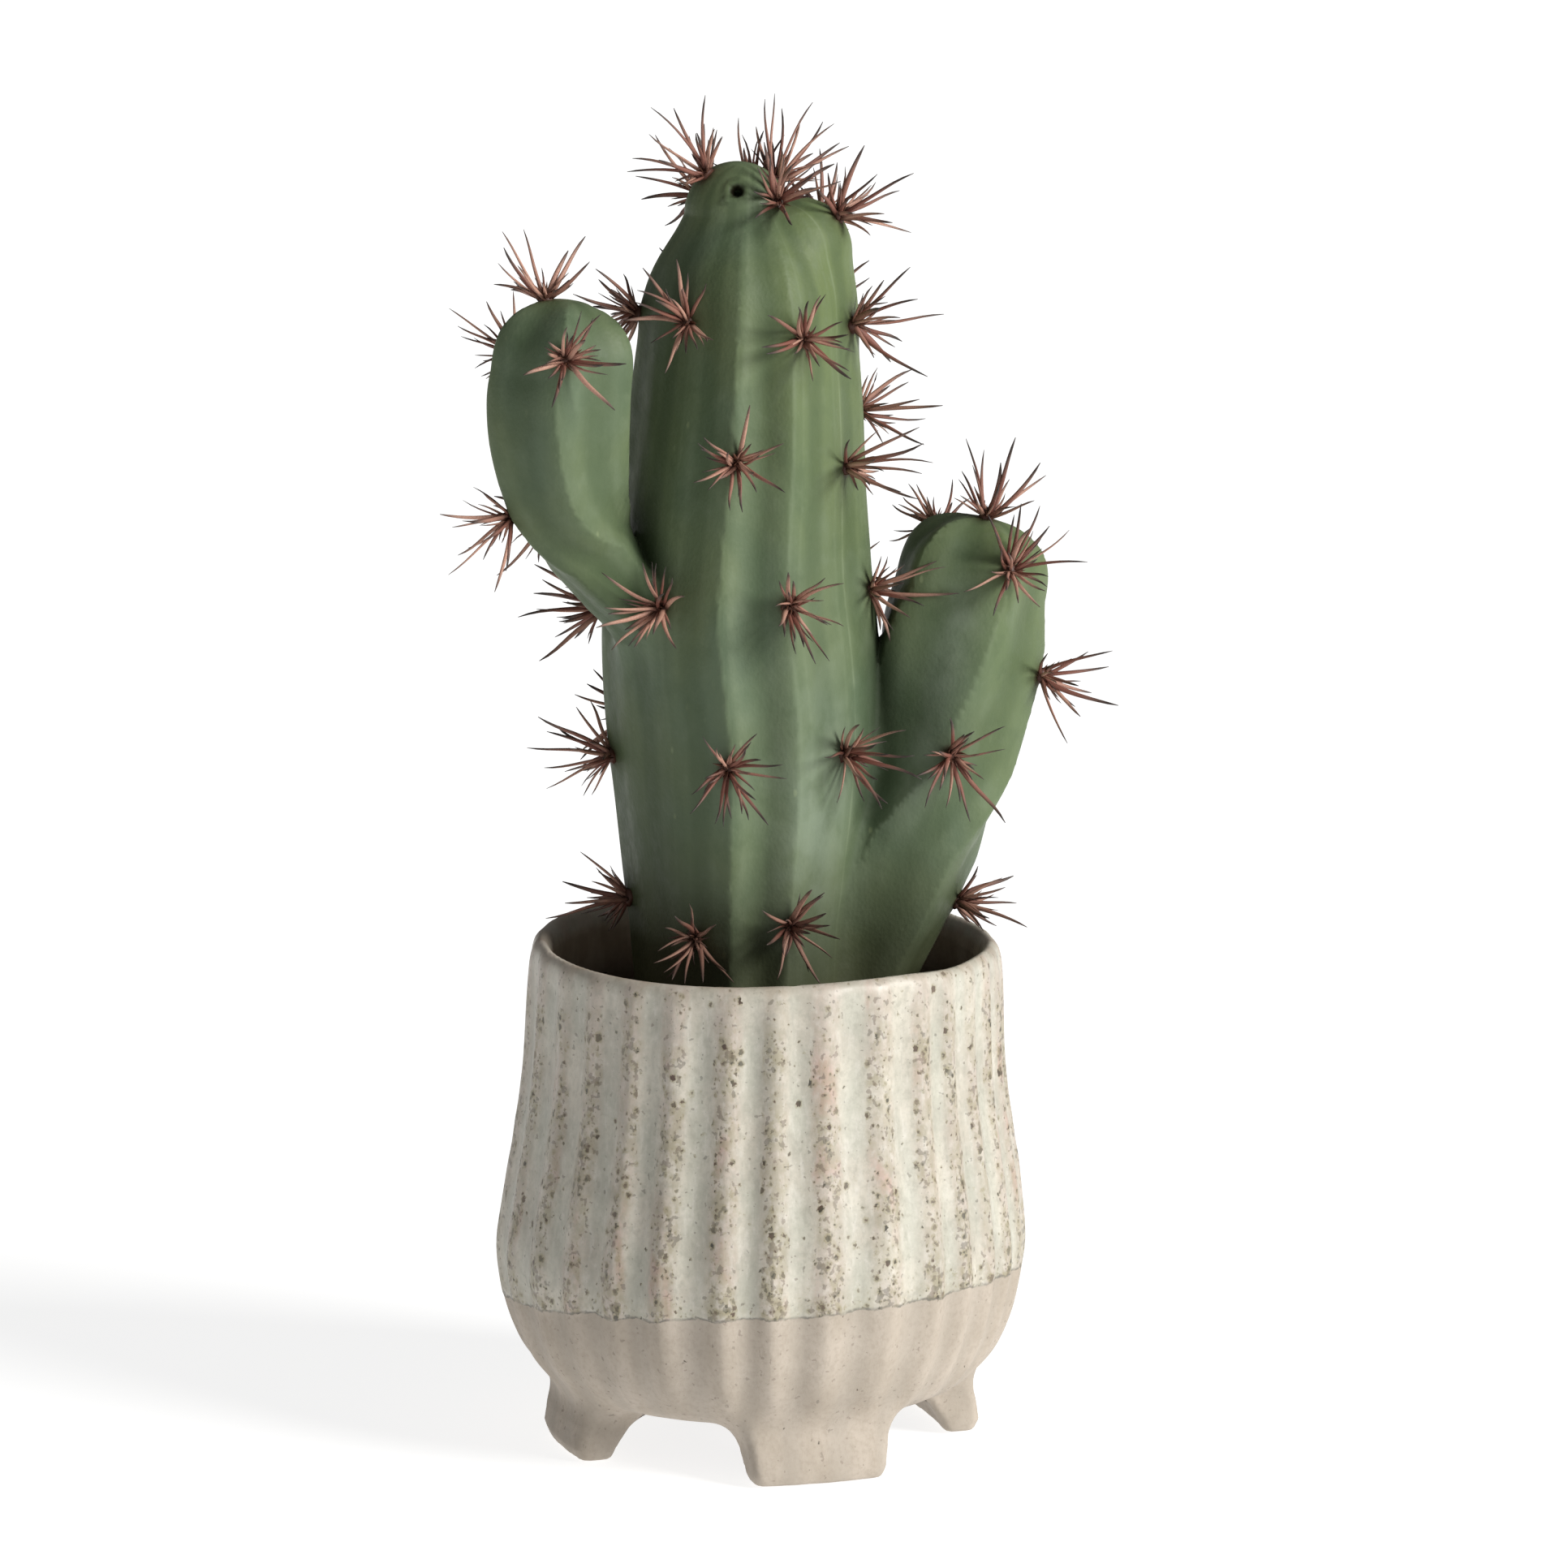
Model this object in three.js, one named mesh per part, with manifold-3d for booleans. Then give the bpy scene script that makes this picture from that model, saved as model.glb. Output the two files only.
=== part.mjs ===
// Potted columnar cactus with two arms, in a fluted, half glazed ceramic pot on four slab feet.
// Millimetres, +Z up. The origin is on the ground under the middle of the whole plant and pot.
// Inside this file everything is laid out around the pot's own axis; ORIGIN_SHIFT moves the result.
// Angles called "az" are measured around a vertical axis: 0 points to -Y (the front), 90 to +X.
import * as THREE from 'three';
import { mergeVertices } from 'three/addons/utils/BufferGeometryUtils.js';
import Module from 'manifold-3d';

const wasm = await Module();
wasm.setup();

// ---------------------------------------------------------------- driving dimensions
const ORIGIN_SHIFT = [-4.9, 0, 0]; // pot axis -> middle of the whole outline
const GAP = 0.35;                  // clearance kept between touching pieces

// pot: [height, radius on the crest of the flutes]
const POT_WALL = [
  [13.3, 42.5], [13.9, 45.5], [15.2, 48.6], [17.4, 52.2], [22.6, 56.6], [27.7, 59.2], [32.7, 61.0],
  [40.0, 62.7], [47.5, 63.3], [55.0, 62.7], [65.0, 61.2], [77.6, 59.3], [90.0, 57.6], [102.4, 56.9], [112.3, 56.4],
];
const POT_LIP = [[117.3, 55.9], [119.4, 55.1], [120.5, 53.8], [120.4, 52.6], [119.0, 51.3], [116.5, 50.7]];
const POT_INSIDE = [[105, 51.1], [90, 52.3], [75, 54.6], [60, 56.8], [47, 57.8], [36, 56.6], [28, 53.6], [23, 49], [20.4, 43], [20, 36]];
const POT_UNDERSIDE = 13.3;        // height of the flat bottom above the ground
const POT_FLOOR = 20;              // height of the inside floor
const POT_LEAN = [[13, -0.4], [50, -0.1], [65, 0.3], [100, 0.7], [121, 1.0]]; // hand thrown: the wall leans a little to +X
const FLUTE_DEPTH = [[14, 0.1], [17, 0.5], [24, 1.2], [40, 1.6], [100, 1.6], [113, 1.2], [119, 0.5]];
// the carved crests are not evenly spaced (az in degrees)
const FLUTE_CRESTS = [
  2.6, 14.5, 28.9, 41.3, 50.6, 60, 69.5, 80, 91, 104.1, 115, 128.8, 139.3, 152.7, 165.7, 175.9, 189.7, 201.1,
  214.9, 226.3, 237.5, 251.2, 263, 275, 289, 302.8, 314.8, 326.6, 337.8, 351.7,
];

// feet: four slabs that flare towards the ground
const FOOT_AZ = [16.6, 106.6, 196.6, 286.6];
const FOOT_HALF_WIDTH = [[0, 15.0], [2.5, 16.0], [6, 16.6], [10, 17.4], [13, 18.2], [18.5, 18.2]];
const FOOT_OUTER = [[0, 49.8], [3, 51.2], [8, 50.4], [13, 49.1], [18.5, 47.4]];
const FOOT_INNER = [[0, 42.6], [3, 41.4], [8, 38.3], [13, 33.9], [18.5, 28.0]];
const FOOT_TOP = 18.5;

// soil: top surface and the level at which the wall meets it
const SOIL_PROFILE = [
  [0, 20.4], [35.6, 20.4], [42.6, 21.0], [48.4, 23.5], [52.9, 28.4], [55.9, 36.3], [57.1, 47], [56.1, 60], [53.9, 75],
  [51.6, 90], [50.9, 96.8], [50.2, 97.8], [40, 98.6], [26, 99.6], [0, 100.2],
];

// trunk: [height, offset in x, radius on the rib crests]
const TRUNK = [
  [84, -4.0, 24.0], [100, -4.0, 25.4], [112, -4.0, 26.6], [127, -3.95, 27.9], [137, -3.85, 29.3], [152, -3.7, 31.0],
  [166, -3.9, 32.2], [181, -4.3, 33.0], [196, -4.9, 32.9], [210, -5.1, 31.5], [230, -4.4, 29.6], [249, -3.35, 27.8],
  [263, -2.95, 26.3], [270, -2.6, 25.3],
];
// the crown has two lobes: each is a tapering form from one ball to a smaller one (x, y, z, radius)
const LOBE_LEFT = [[-3.0, 0.5, 270.0, 23.5], [-5.6, 1.0, 294.2, 12.2]];
const LOBE_RIGHT = [[3.5, 0, 268.0, 18.5], [8.3, 0, 285.3, 13.2]];
const RIBS = 12;
const RIB_AZ = -7;                 // az of the crest of the first rib
const GROOVES = [3.0, 0.45, 0.5, 0.9, 1.2, 1.1, 1.3, 1.2, 1.1, 0.6, 0.35, 0.4]; // depth of the groove after each crest
const FLATS = [[-92, -7, 3.4], [22, 90, 2.5]]; // broad flat faces between two crests: from az, to az, depth in the middle

// arms: [x, y, z, radius] along the centre line, from the buried root to the rounded tip
const ARM_LEFT = [
  [-14, -5, 190, 8.0], [-23, -10, 198, 8.6], [-31.2, -14.5, 206.4, 9.3], [-37.4, -18, 214.8, 10.6], [-42.0, -20.3, 223, 12.7],
  [-45.3, -21.6, 232.5, 15.4], [-46.9, -22.2, 244, 17.1], [-47.0, -22.2, 253, 17.6], [-46.3, -22.0, 259.8, 17.3],
];
const ARM_RIGHT = [
  [12, 1, 80, 11.0], [20, 1.5, 98, 12.4], [25, 2, 115, 13.4], [29.9, 2.5, 128, 15.0], [34.8, 3, 141, 16.5],
  [39.0, 4, 154, 17.9], [42.5, 5, 167, 19.1], [44.8, 5.5, 180, 20.2], [46.6, 5.8, 193, 20.8], [48.9, 6, 204.3, 18.9],
];
const ARM_RIBS = 5;
const ARM_GROOVE = 2.6;
const ARM_LEFT_TWIST = [[195, 60], [217.8, 42], [221.6, 24], [225, 13], [230, 6], [240, 3], [255, 0]];   // [height, az of a crest]
const ARM_RIGHT_TWIST = [[120, -40], [144, -38], [154, -20], [165, 2], [175, 4], [183, 12], [192, 18], [200, 22], [209, 30]];
const ARM_LEFT_TIP = [2.6, 1.02];  // roundness and flatness of the tip
const ARM_RIGHT_TIP = [2.6, 1.08];

// the socket near the top of the trunk that holds no spines: mouth, axis, size
const SOCKET = { at: [-5.5, -9.3, 301.0], axis: [-0.02, -0.84, 0.54], radius: 1.5, depth: 4.5 };

// spine clusters: name, root on the skin (x, y, z), direction in which the bunch points, tips of its spines
const CLUSTERS = [
  ['top_left', [-12.7, -2.4, 303.6], [-0.61, -0.24, 0.75], [
    [-12.9, -5.6, 322], [-20.1, 4.1, 318], [-25.1, -6.4, 319.4], [-25.5, -6.1, 313.3], [-29.4, 2.8, 306.8],
    [-30.6, 2.5, 303.8], [-23.2, -14, 308.5], [-19.1, -16.5, 303.8], [-16.7, 9.2, 311.1], [-21.3, 10.9, 308.1],
  ]],
  ['crown_front', [3.8, -6.5, 297.8], [0.40, -0.63, 0.66], [
    [0.9, -9.5, 311.7], [-0.6, -17.3, 307], [2.3, -14, 309.6], [5.3, -15.6, 309], [7.1, -17.9, 307.6],
    [12.6, -15.8, 302.2], [16.6, -10.2, 306.9], [18.1, -11.2, 303.2], [12.2, -14.8, 305.5], [-1.1, -18.4, 295.8],
    [7.1, -20.4, 294.5], [5.6, -20.4, 297.2], [0, -21, 299.5],
  ]],
  ['crown_back', [3.3, 6, 301.1], [0.47, 0.38, 0.80], [
    [1, 13.5, 318.9], [3.2, 13.8, 320.1], [4.8, 12.7, 316.9], [-1, 14.7, 312.5], [11.8, 13.4, 318.2],
    [14.1, 12.5, 313.9], [16.6, 12.8, 313.4], [17.9, 11.9, 309.2], [20, 12.1, 308.4], [-1.9, 20.5, 304.3],
    [9, 12.1, 314.5], [11.9, 17.8, 306.1],
  ]],
  ['top_right', [17.9, -2.5, 294], [0.76, -0.22, 0.61], [
    [23.9, -5.7, 310.4], [26.6, 9.7, 300.2], [22.7, 9.3, 298.2], [34.9, -7.2, 304.3], [31.9, 2.5, 299.2],
    [28.3, -11.3, 295.7], [34.5, 1.6, 289.8], [30.1, -12.2, 293.8], [13.4, -13.3, 301.5], [25.4, 11.6, 295.5],
  ]],
  ['top_back', [-2, 11.8, 298.9], [0.07, 0.85, 0.52], [
    [-4, 23.7, 306.6], [-5.2, 20.3, 313.8], [8.6, 21.3, 302.2], [-10.6, 21.4, 301.1], [0.5, 13.2, 311.7],
    [5.2, 21.8, 294.9], [5.2, 11.5, 310.9], [-10.4, 24.6, 292.1], [9, 16.8, 302.4],
  ]],
  ['top_back_left', [-13.1, 10.1, 297.1], [-0.56, 0.69, 0.46], [
    [-10.5, 16.3, 311.5], [-24.4, 12.8, 310.7], [-11.5, 25.1, 306.1], [-28.9, 11, 301.6], [-22.4, 20.5, 289.1],
    [-27.6, 13.6, 296], [-15, 12, 311.3], [-16.2, 23, 292], [-11.3, 11.1, 310.8],
  ]],
  ['top_back_right', [14.1, 9.1, 292.1], [0.50, 0.71, 0.50], [
    [17.8, 16.8, 303.8], [25.5, 11.8, 299.3], [24, 18, 288.6], [9.4, 23.2, 297.5], [26.8, 6.6, 302.4],
    [18.1, 20.6, 283.8], [13.8, 13, 307.4], [16.2, 24.9, 285.6], [6.7, 18.5, 300.6],
  ]],
  ['upper_left', [-28.5, 1.4, 270.7], [-0.99, -0.04, 0.14], [
    [-38.2, -6, 281.7], [-37.9, 11.1, 277], [-43.4, -2.9, 275.6], [-32.3, 12.9, 278], [-39.2, 11, 270.9],
    [-42, 6.9, 273.5], [-35.8, 14.4, 267.5], [-34.7, 14.6, 265.4], [-34, 12.9, 263.6], [-32.1, 10.1, 261.7],
    [-33.8, 13.2, 273.3],
  ]],
  ['upper_front_left', [-17.1, -17.3, 271.2], [-0.48, -0.86, 0.17], [
    [-26.9, -24.2, 284.3], [-19.4, -23.9, 286.2], [-28.1, -27.3, 279.7], [-28.4, -30.9, 277.5], [-31.3, -25.5, 272.7],
    [-21.9, -31.3, 261.7], [-12.5, -35.8, 269.4], [-14.6, -36.6, 267.8], [-17.2, -33.5, 266.4], [-24, -31, 278],
    [-11.2, -34.7, 269.6],
  ]],
  ['upper_front_right', [9.9, -21.2, 267.7], [0.51, -0.86, 0.09], [
    [2, -32.6, 274.7], [0.7, -33.1, 267.6], [1.7, -34.9, 266.4], [19.8, -33, 270.4], [18.5, -35, 268.9],
    [20.1, -31.5, 262], [20.5, -27.8, 259.7], [12, -34, 260.1], [11, -34.4, 278.1], [13.7, -29.6, 278.7],
    [9.2, -35.3, 276.4],
  ]],
  ['upper_right', [21.2, -5, 268.7], [0.95, -0.30, 0.08], [
    [28.4, -10.6, 279.7], [34.3, -9, 282.4], [36, -9.3, 275.2], [42.1, 0.1, 270.5], [32, -15.1, 271.8],
    [32.7, 5.8, 263.5], [38.2, -13, 258.2], [30.1, 0.7, 259.5], [31.1, 5.1, 262.3], [27.6, -16.5, 274.2],
  ]],
  ['upper_back_right', [12.9, 20.8, 269.1], [0.60, 0.80, 0.09], [
    [14.7, 35.8, 271.8], [25.2, 24.6, 275.6], [14.1, 33.9, 262.1], [10.9, 34.2, 275.7], [25.1, 19.3, 280.3],
    [20.5, 22.6, 258.7], [29.4, 24.9, 269.9], [19.8, 31.8, 258.1], [12.2, 30.9, 278.3],
  ]],
  ['upper_back_left', [-12.8, 23.7, 270], [-0.39, 0.91, 0.12], [
    [-23.2, 34.8, 275.5], [-8.7, 41.6, 269.5], [-18.9, 34.7, 261.6], [-23.8, 30.2, 281.8], [-6.8, 36.8, 280.9],
    [-24.3, 29.3, 260.9], [-18.7, 28.1, 283.7], [-2.5, 35.6, 276.6], [-21.2, 28.8, 258.2],
  ]],
  ['mid_front', [-5.9, -28.3, 239.7], [0.06, -0.99, 0.09], [
    [-12.9, -39.2, 247.3], [-14.2, -39.5, 246], [-15.1, -41.2, 237.4], [-12, -39, 235.3], [-7, -40.4, 231],
    [-2.6, -32.5, 253.4], [4.9, -33.5, 245], [5.2, -37.7, 234.6], [0.5, -39.8, 244.6], [-1.7, -43.1, 239.9],
    [-13.5, -39.6, 244.6],
  ]],
  ['mid_front_right', [19.7, -11.2, 236.2], [0.92, -0.40, 0.03], [
    [36.2, -20.5, 246.6], [37.1, -21, 243], [39.3, -22, 238.8], [36.8, -21.8, 236.3], [35.9, -22.8, 230.7],
    [32.1, -25.1, 232.7], [26.3, -29.5, 240.7], [25.1, -28.1, 234.7], [28.2, -29.5, 238.1],
  ]],
  ['mid_right', [22.5, 10.7, 246], [0.95, 0.30, 0.08], [
    [35.1, 16.4, 254.7], [34.4, 15.5, 252], [36.8, 6.4, 249.4], [42, 4.9, 248.2], [38.3, 14.7, 243.7],
    [37.8, 4.2, 239.3], [30.3, 20, 250.6], [31, 20.4, 243.7],
  ]],
  ['mid_back', [-0.1, 28.6, 238], [0.14, 0.99, 0.06], [
    [-5.4, 41.9, 244.4], [9.3, 38.7, 235.7], [-3.5, 40.7, 229.9], [-1.7, 38.8, 249.9], [13.7, 36.4, 244.2],
    [-5, 35.2, 248.8], [11.3, 33.3, 247.1], [1.7, 34.5, 226.1], [6.3, 37.8, 246.8],
  ]],
  ['mid_back_left', [-27.3, 17.4, 236], [-0.80, 0.59, 0.09], [
    [-40.6, 23.4, 244.6], [-32.3, 28.1, 245.4], [-37.5, 21.9, 227.9], [-37.1, 17.8, 246.1], [-28.2, 32.4, 231.8],
    [-38.2, 15.7, 228.9], [-25.9, 29.6, 245.6], [-32.8, 23.5, 221.3], [-31.4, 30.8, 234.2],
  ]],
  ['belly_left', [-37, 0.1, 200.6], [-1.00, -0.07, -0.02], [
    [-53, 6.7, 209.6], [-51.2, 5.4, 206.3], [-53.2, 5, 203.2], [-52.5, 4.2, 199.7], [-56.4, -6.3, 199.7],
    [-48.4, 4.9, 193.1], [-51.6, -7.8, 189.9], [-44, 7.7, 192.3], [-47.1, -8.6, 199.1], [-45.1, -11.4, 204.1],
  ]],
  ['belly_front_left', [-23.2, -22.8, 204.9], [-0.50, -0.86, 0.07], [
    [-36.4, -29.7, 213.9], [-27.2, -34.9, 217], [-35.7, -35.7, 207], [-37.6, -33.5, 202.1], [-34.2, -33.9, 197.1],
    [-29.1, -38.9, 198.6], [-17.8, -37.7, 209.9], [-19.7, -36.6, 197.9], [-34.9, -33.4, 205.2], [-24.8, -41.7, 202],
    [-20.6, -37.1, 213.9],
  ]],
  ['belly_front_right', [6.7, -29.5, 206.3], [0.27, -0.96, 0.07], [
    [6.4, -40.5, 215.8], [14.6, -38.4, 214.2], [18.7, -38.5, 213], [14.3, -40.7, 209.5], [18.7, -40.5, 203.7],
    [15.6, -36.2, 195], [12.5, -39.1, 194.9], [7.8, -42.8, 200.6], [5.6, -44.3, 201.9], [8.1, -38.9, 197.1],
    [9.9, -41.3, 199.1], [4.3, -43.8, 204.3],
  ]],
  ['belly_right', [25.6, -4.4, 206.1], [0.93, -0.34, 0.17], [
    [40.6, -9, 213.2], [42.5, -9.9, 212], [45.7, -11.6, 206.3], [37.8, -12.3, 203.5], [34.5, -17.8, 201.8],
    [30.2, -7.3, 194.5], [35.6, -8.8, 203.8], [33.2, -17.1, 209.6], [28, -7.6, 197.1], [32.2, -2.4, 204.6],
  ]],
  ['belly_back_right', [14.6, 25.6, 203], [0.62, 0.78, 0.05], [
    [15.9, 40, 207.4], [27.8, 31.6, 211], [17.2, 35.1, 195], [11.9, 40.2, 206.6], [30.7, 24.9, 200.3],
    [14.3, 33.1, 213.1], [29.4, 22, 203.6], [15.3, 33, 190.3], [21.8, 38.5, 209.5],
  ]],
  ['belly_back_left', [-17.7, 29.6, 204], [-0.39, 0.92, 0.04], [
    [-25.8, 41.1, 213.7], [-13.7, 42.8, 201.9], [-27.5, 37.1, 195.3], [-26.6, 34, 212.1], [-30.7, 34.1, 195.3],
    [-8.8, 40.4, 206.6], [-25.6, 33.1, 191.5], [-15.2, 44.4, 211.7], [-19.2, 36.8, 193.5],
  ]],
  ['waist_left', [-34.9, -2.6, 165.8], [-0.98, -0.17, -0.04], [
    [-40.3, 6.2, 176.7], [-43.5, 3.3, 175.9], [-51.9, -6.9, 175.5], [-50.2, 2.7, 170.3], [-54.7, 2.7, 166.5],
    [-50.8, 1.1, 162.2], [-50, -9.3, 159.4], [-42, 4.9, 154.9], [-47.9, 2.5, 171.5], [-45.7, -14.8, 164.4],
  ]],
  ['waist_front', [-7.8, -32.1, 168.4], [-0.05, -1.00, -0.06], [
    [-10.1, -44.7, 175.5], [-16.1, -41.5, 159.8], [-10.5, -43, 157.9], [-8.6, -44.1, 157.5], [-4.5, -44.3, 160.4],
    [-3, -41.8, 158.5], [1.4, -39.2, 156.8], [4.6, -42.3, 171.2], [5.5, -36.6, 166.9], [-1.1, -39, 177.6],
    [-3.6, -45.4, 175.3], [-1.4, -45, 163.7],
  ]],
  ['waist_front_right', [19.5, -18.5, 169.2], [0.67, -0.75, -0.05], [
    [33.3, -25.6, 176], [35.2, -26.9, 170.4], [36.8, -28.6, 165.3], [29.2, -28.7, 159.8], [27.9, -30, 158.8],
    [22.8, -33.8, 178.8], [26.6, -34.8, 174.5], [26.9, -34.5, 166.4], [23.7, -35.6, 166.6], [14.9, -36.5, 171.9],
    [29.4, -32, 171.7],
  ]],
  ['waist_back', [0, 32.1, 168], [0.12, 0.99, -0.03], [
    [-5.3, 47.2, 169], [9.6, 42.2, 168.8], [-1, 41.8, 157.7], [-11.3, 44.1, 169], [14.6, 40.9, 171.7],
    [-5.7, 41.8, 155.4], [16.4, 38.1, 165.5], [1.4, 37, 156.1], [-0.6, 44.8, 174.3],
  ]],
  ['waist_back_left', [-30.2, 19.4, 172], [-0.81, 0.59, -0.03], [
    [-44.1, 21.6, 175.8], [-33.5, 31.3, 174.6], [-39.6, 25.7, 158.8], [-39.8, 21.5, 181.7], [-30.1, 34.3, 172.6],
    [-42.7, 16.6, 161.5], [-28.6, 33.7, 177], [-41.3, 23.6, 177.9], [-43, 21.1, 162.4],
  ]],
  ['base_left', [-31.3, -1.8, 131.4], [-0.99, -0.15, 0.00], [
    [-42.6, 5.6, 140.4], [-46.7, 3.1, 134], [-45.9, -6.7, 131], [-50.2, -8.8, 127.9], [-42.6, 6.5, 125.7],
    [-38.8, 10, 124.3], [-39.1, 9.1, 136], [-39.7, -12.6, 132.3],
  ]],
  ['base_front_left', [-15.3, -22.3, 126], [-0.35, -0.94, -0.04], [
    [-24.7, -35, 122.8], [-20.6, -34.7, 118.9], [-17.7, -37.3, 118.6], [-13.6, -37.8, 119], [-6.7, -30.7, 117.4],
    [-19.9, -36.9, 134], [-10.7, -35.7, 131.8], [-22.4, -37.1, 121.1], [-8.5, -34.2, 120.8],
  ]],
  ['base_front_right', [7, -26, 129.4], [0.37, -0.93, 0.01], [
    [11.7, -35.3, 139.8], [14.6, -33.6, 138.8], [14.9, -39.1, 135.2], [18.1, -35, 128.4], [13.7, -33.1, 117.6],
    [3.9, -36.7, 119.4], [1.6, -40.1, 128.2], [5.4, -39.8, 125.9], [11.4, -38.4, 130.4], [15.8, -38.2, 132.3],
  ]],
  ['base_back_right', [13.1, 22.2, 128], [0.62, 0.78, -0.05], [
    [16.1, 36, 129.1], [25.6, 25.5, 125.4], [19.4, 28.9, 117.5], [17.2, 32, 138.7], [29.7, 21.9, 128.8],
    [11.8, 33, 116.1], [8, 36.2, 131.9], [26, 20.7, 134.6], [21.5, 23.1, 112.5],
  ]],
  ['base_back_left', [-15.3, 25.6, 128], [-0.42, 0.90, -0.05], [
    [-28.5, 34.1, 127.6], [-16.2, 39.4, 135.6], [-23.1, 33.4, 117.7], [-22.9, 32.3, 137.8], [-10.1, 37.7, 135.2],
    [-12.7, 35.4, 116], [-27.3, 27.9, 134.8], [-4.3, 39, 127], [-21.2, 28.4, 114.7],
  ]],
  ['left_arm_top', [-49.9, -22.1, 276.8], [-0.16, -0.03, 0.99], [
    [-59.3, -25.6, 292.8], [-54.9, -14.7, 291.9], [-59, -25.4, 289.2], [-60.2, -27.8, 286], [-61.7, -11.7, 279.1],
    [-44.9, -16.1, 287.3], [-41.1, -14.6, 290.3], [-39.9, -26.9, 286.2], [-58, -8.1, 277.4], [-55.7, -32.7, 286.1],
    [-43.5, -8.6, 280.9],
  ]],
  ['left_arm_front', [-45, -38.6, 265.4], [0.27, -0.90, 0.33], [
    [-53.9, -46.9, 263.2], [-36.9, -44.8, 276.4], [-47.7, -48.8, 256.3], [-33.9, -43.7, 254.9], [-36.8, -49.9, 269.3],
    [-31.3, -46.7, 265.7], [-44.2, -50.9, 274.4], [-40.2, -50.4, 271.5], [-36.2, -49.9, 265.9], [-45.5, -50.7, 262.5],
    [-48.5, -52.3, 269],
  ]],
  ['left_arm_low', [-58.1, -24.4, 226.6], [-0.88, -0.23, -0.41], [
    [-73.8, -29.5, 227.9], [-70.9, -33.3, 225.6], [-69.8, -30.5, 218.8], [-71.9, -32.5, 214.7], [-64, -35.2, 218.6],
    [-61.6, -32.3, 210.8], [-59, -33.1, 215.7], [-63.6, -36.7, 223.3], [-66.7, -34.9, 226.8], [-68.1, -15.3, 217.9],
  ]],
  ['left_arm_back_left', [-57.5, -10.6, 262.8], [-0.73, 0.64, 0.24], [
    [-57.9, -4.6, 276.1], [-64, -2.7, 273.5], [-70.4, -6, 268.4], [-72.2, -8.7, 272.8], [-59.5, 6.5, 265.5],
    [-56.3, 1.9, 262], [-69.3, -15.4, 267.4], [-59.6, -0.1, 252.4], [-65.4, 0.9, 256],
  ]],
  ['left_arm_back', [-49.5, -7.8, 243], [-0.15, 0.99, -0.03], [
    [-52.4, 3.2, 250.5], [-41.6, 5.7, 238.7], [-49, 4.3, 230.2], [-40.2, 2.8, 248.3], [-57.1, -1.7, 232.6],
    [-57.2, -2.7, 251.7], [-41.8, 1.5, 255.7], [-59.3, 6.8, 244.9], [-60.3, -0.1, 248.7],
  ]],
  ['left_arm_back_low', [-49.6, -10.4, 224.2], [-0.44, 0.84, -0.31], [
    [-59.9, -0.6, 227.2], [-47.5, 4, 223.2], [-52.2, -5.4, 213], [-58.1, 1, 232.8], [-41.8, 3.8, 221.7],
    [-61.5, -10.4, 210.8], [-62.1, -7.3, 228.4], [-47.6, 2.3, 233], [-59.3, -4.2, 232.2],
  ]],
  ['right_arm_top', [53, 4, 221.3], [0.20, -0.04, 0.98], [
    [48.6, 12.2, 238.5], [47.7, 12.9, 230.9], [52.5, 1.9, 237.5], [56.3, 1.9, 234.6], [59.6, 1.1, 240.5],
    [65.2, 0.5, 234.8], [66.8, 10, 230.4], [63.8, -3.1, 226.7], [49.9, 1.3, 234.1], [58.6, 14.2, 228.8],
  ]],
  ['right_arm_front', [58.2, -9.8, 211.4], [0.48, -0.82, 0.33], [
    [60.8, -11.9, 227], [59.2, -14.1, 224.8], [65, -12.3, 226.5], [67.2, -12.5, 222], [71.6, -13.5, 221.2],
    [75.7, -15.2, 214.2], [66.7, -20, 211.7], [53.2, -15, 225], [47.8, -17.1, 207.7], [54.4, -20.6, 202.8],
    [60, -22.7, 206.1], [62.6, -17.5, 222.2], [57.1, -25.5, 209.5],
  ]],
  ['right_arm_right', [65.9, 3.6, 183.9], [0.96, -0.25, -0.10], [
    [67.4, -7.5, 191], [82.3, -1.1, 190.4], [81.8, 7.9, 185.1], [83.6, -3.8, 178.3], [75, -4.2, 175.8],
    [72.1, -4.3, 169.6], [74.4, -8.6, 183.7], [78, 9.7, 178.7], [74.3, 11.9, 175.1],
  ]],
  ['right_arm_mid', [44.7, -13.7, 168.1], [0.29, -0.95, -0.08], [
    [44.3, -21.9, 178.1], [49.6, -26.4, 175.8], [56.8, -16.1, 175.1], [39.3, -24.4, 164.5], [43.4, -23.3, 157.8],
    [48.9, -20.5, 154], [56.8, -21.8, 154], [38.7, -20.5, 157.2], [51.9, -24.1, 164.4], [46.6, -21.9, 158.8],
    [47.4, -26.7, 175.2],
  ]],
  ['right_arm_low', [46.1, 3.4, 129.4], [0.98, -0.05, -0.18], [
    [51.1, -6.7, 139.6], [59.6, 8.8, 134.1], [57.4, -3.1, 133.9], [60.3, 7.4, 128], [62.4, -4, 124.8],
    [51.9, 8.9, 121.9], [49.8, 14.5, 122], [53.7, -8.3, 127.8],
  ]],
  ['right_arm_back_left', [41.5, 15.7, 217.8], [-0.16, 0.71, 0.68], [
    [45.4, 29.3, 221], [39, 31.9, 218.8], [37.6, 28.2, 215.9], [44.8, 20.5, 231.4], [35.3, 15, 231.5],
    [31, 14.4, 226.7], [31, 27.8, 212.3], [34.1, 20.3, 228.8], [49.7, 28, 216.1],
  ]],
  ['right_arm_back', [48, 25, 192], [-0.07, 1.00, 0.03], [
    [39, 38.2, 195.6], [55.7, 39.1, 198.6], [47.9, 34.6, 183.4], [39.6, 35, 201.6], [53.3, 33.7, 201.6],
    [45.3, 32.6, 181.4], [61.8, 34.4, 186.4], [49.9, 32.5, 176.9], [38.3, 32.9, 183.8],
  ]],
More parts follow.
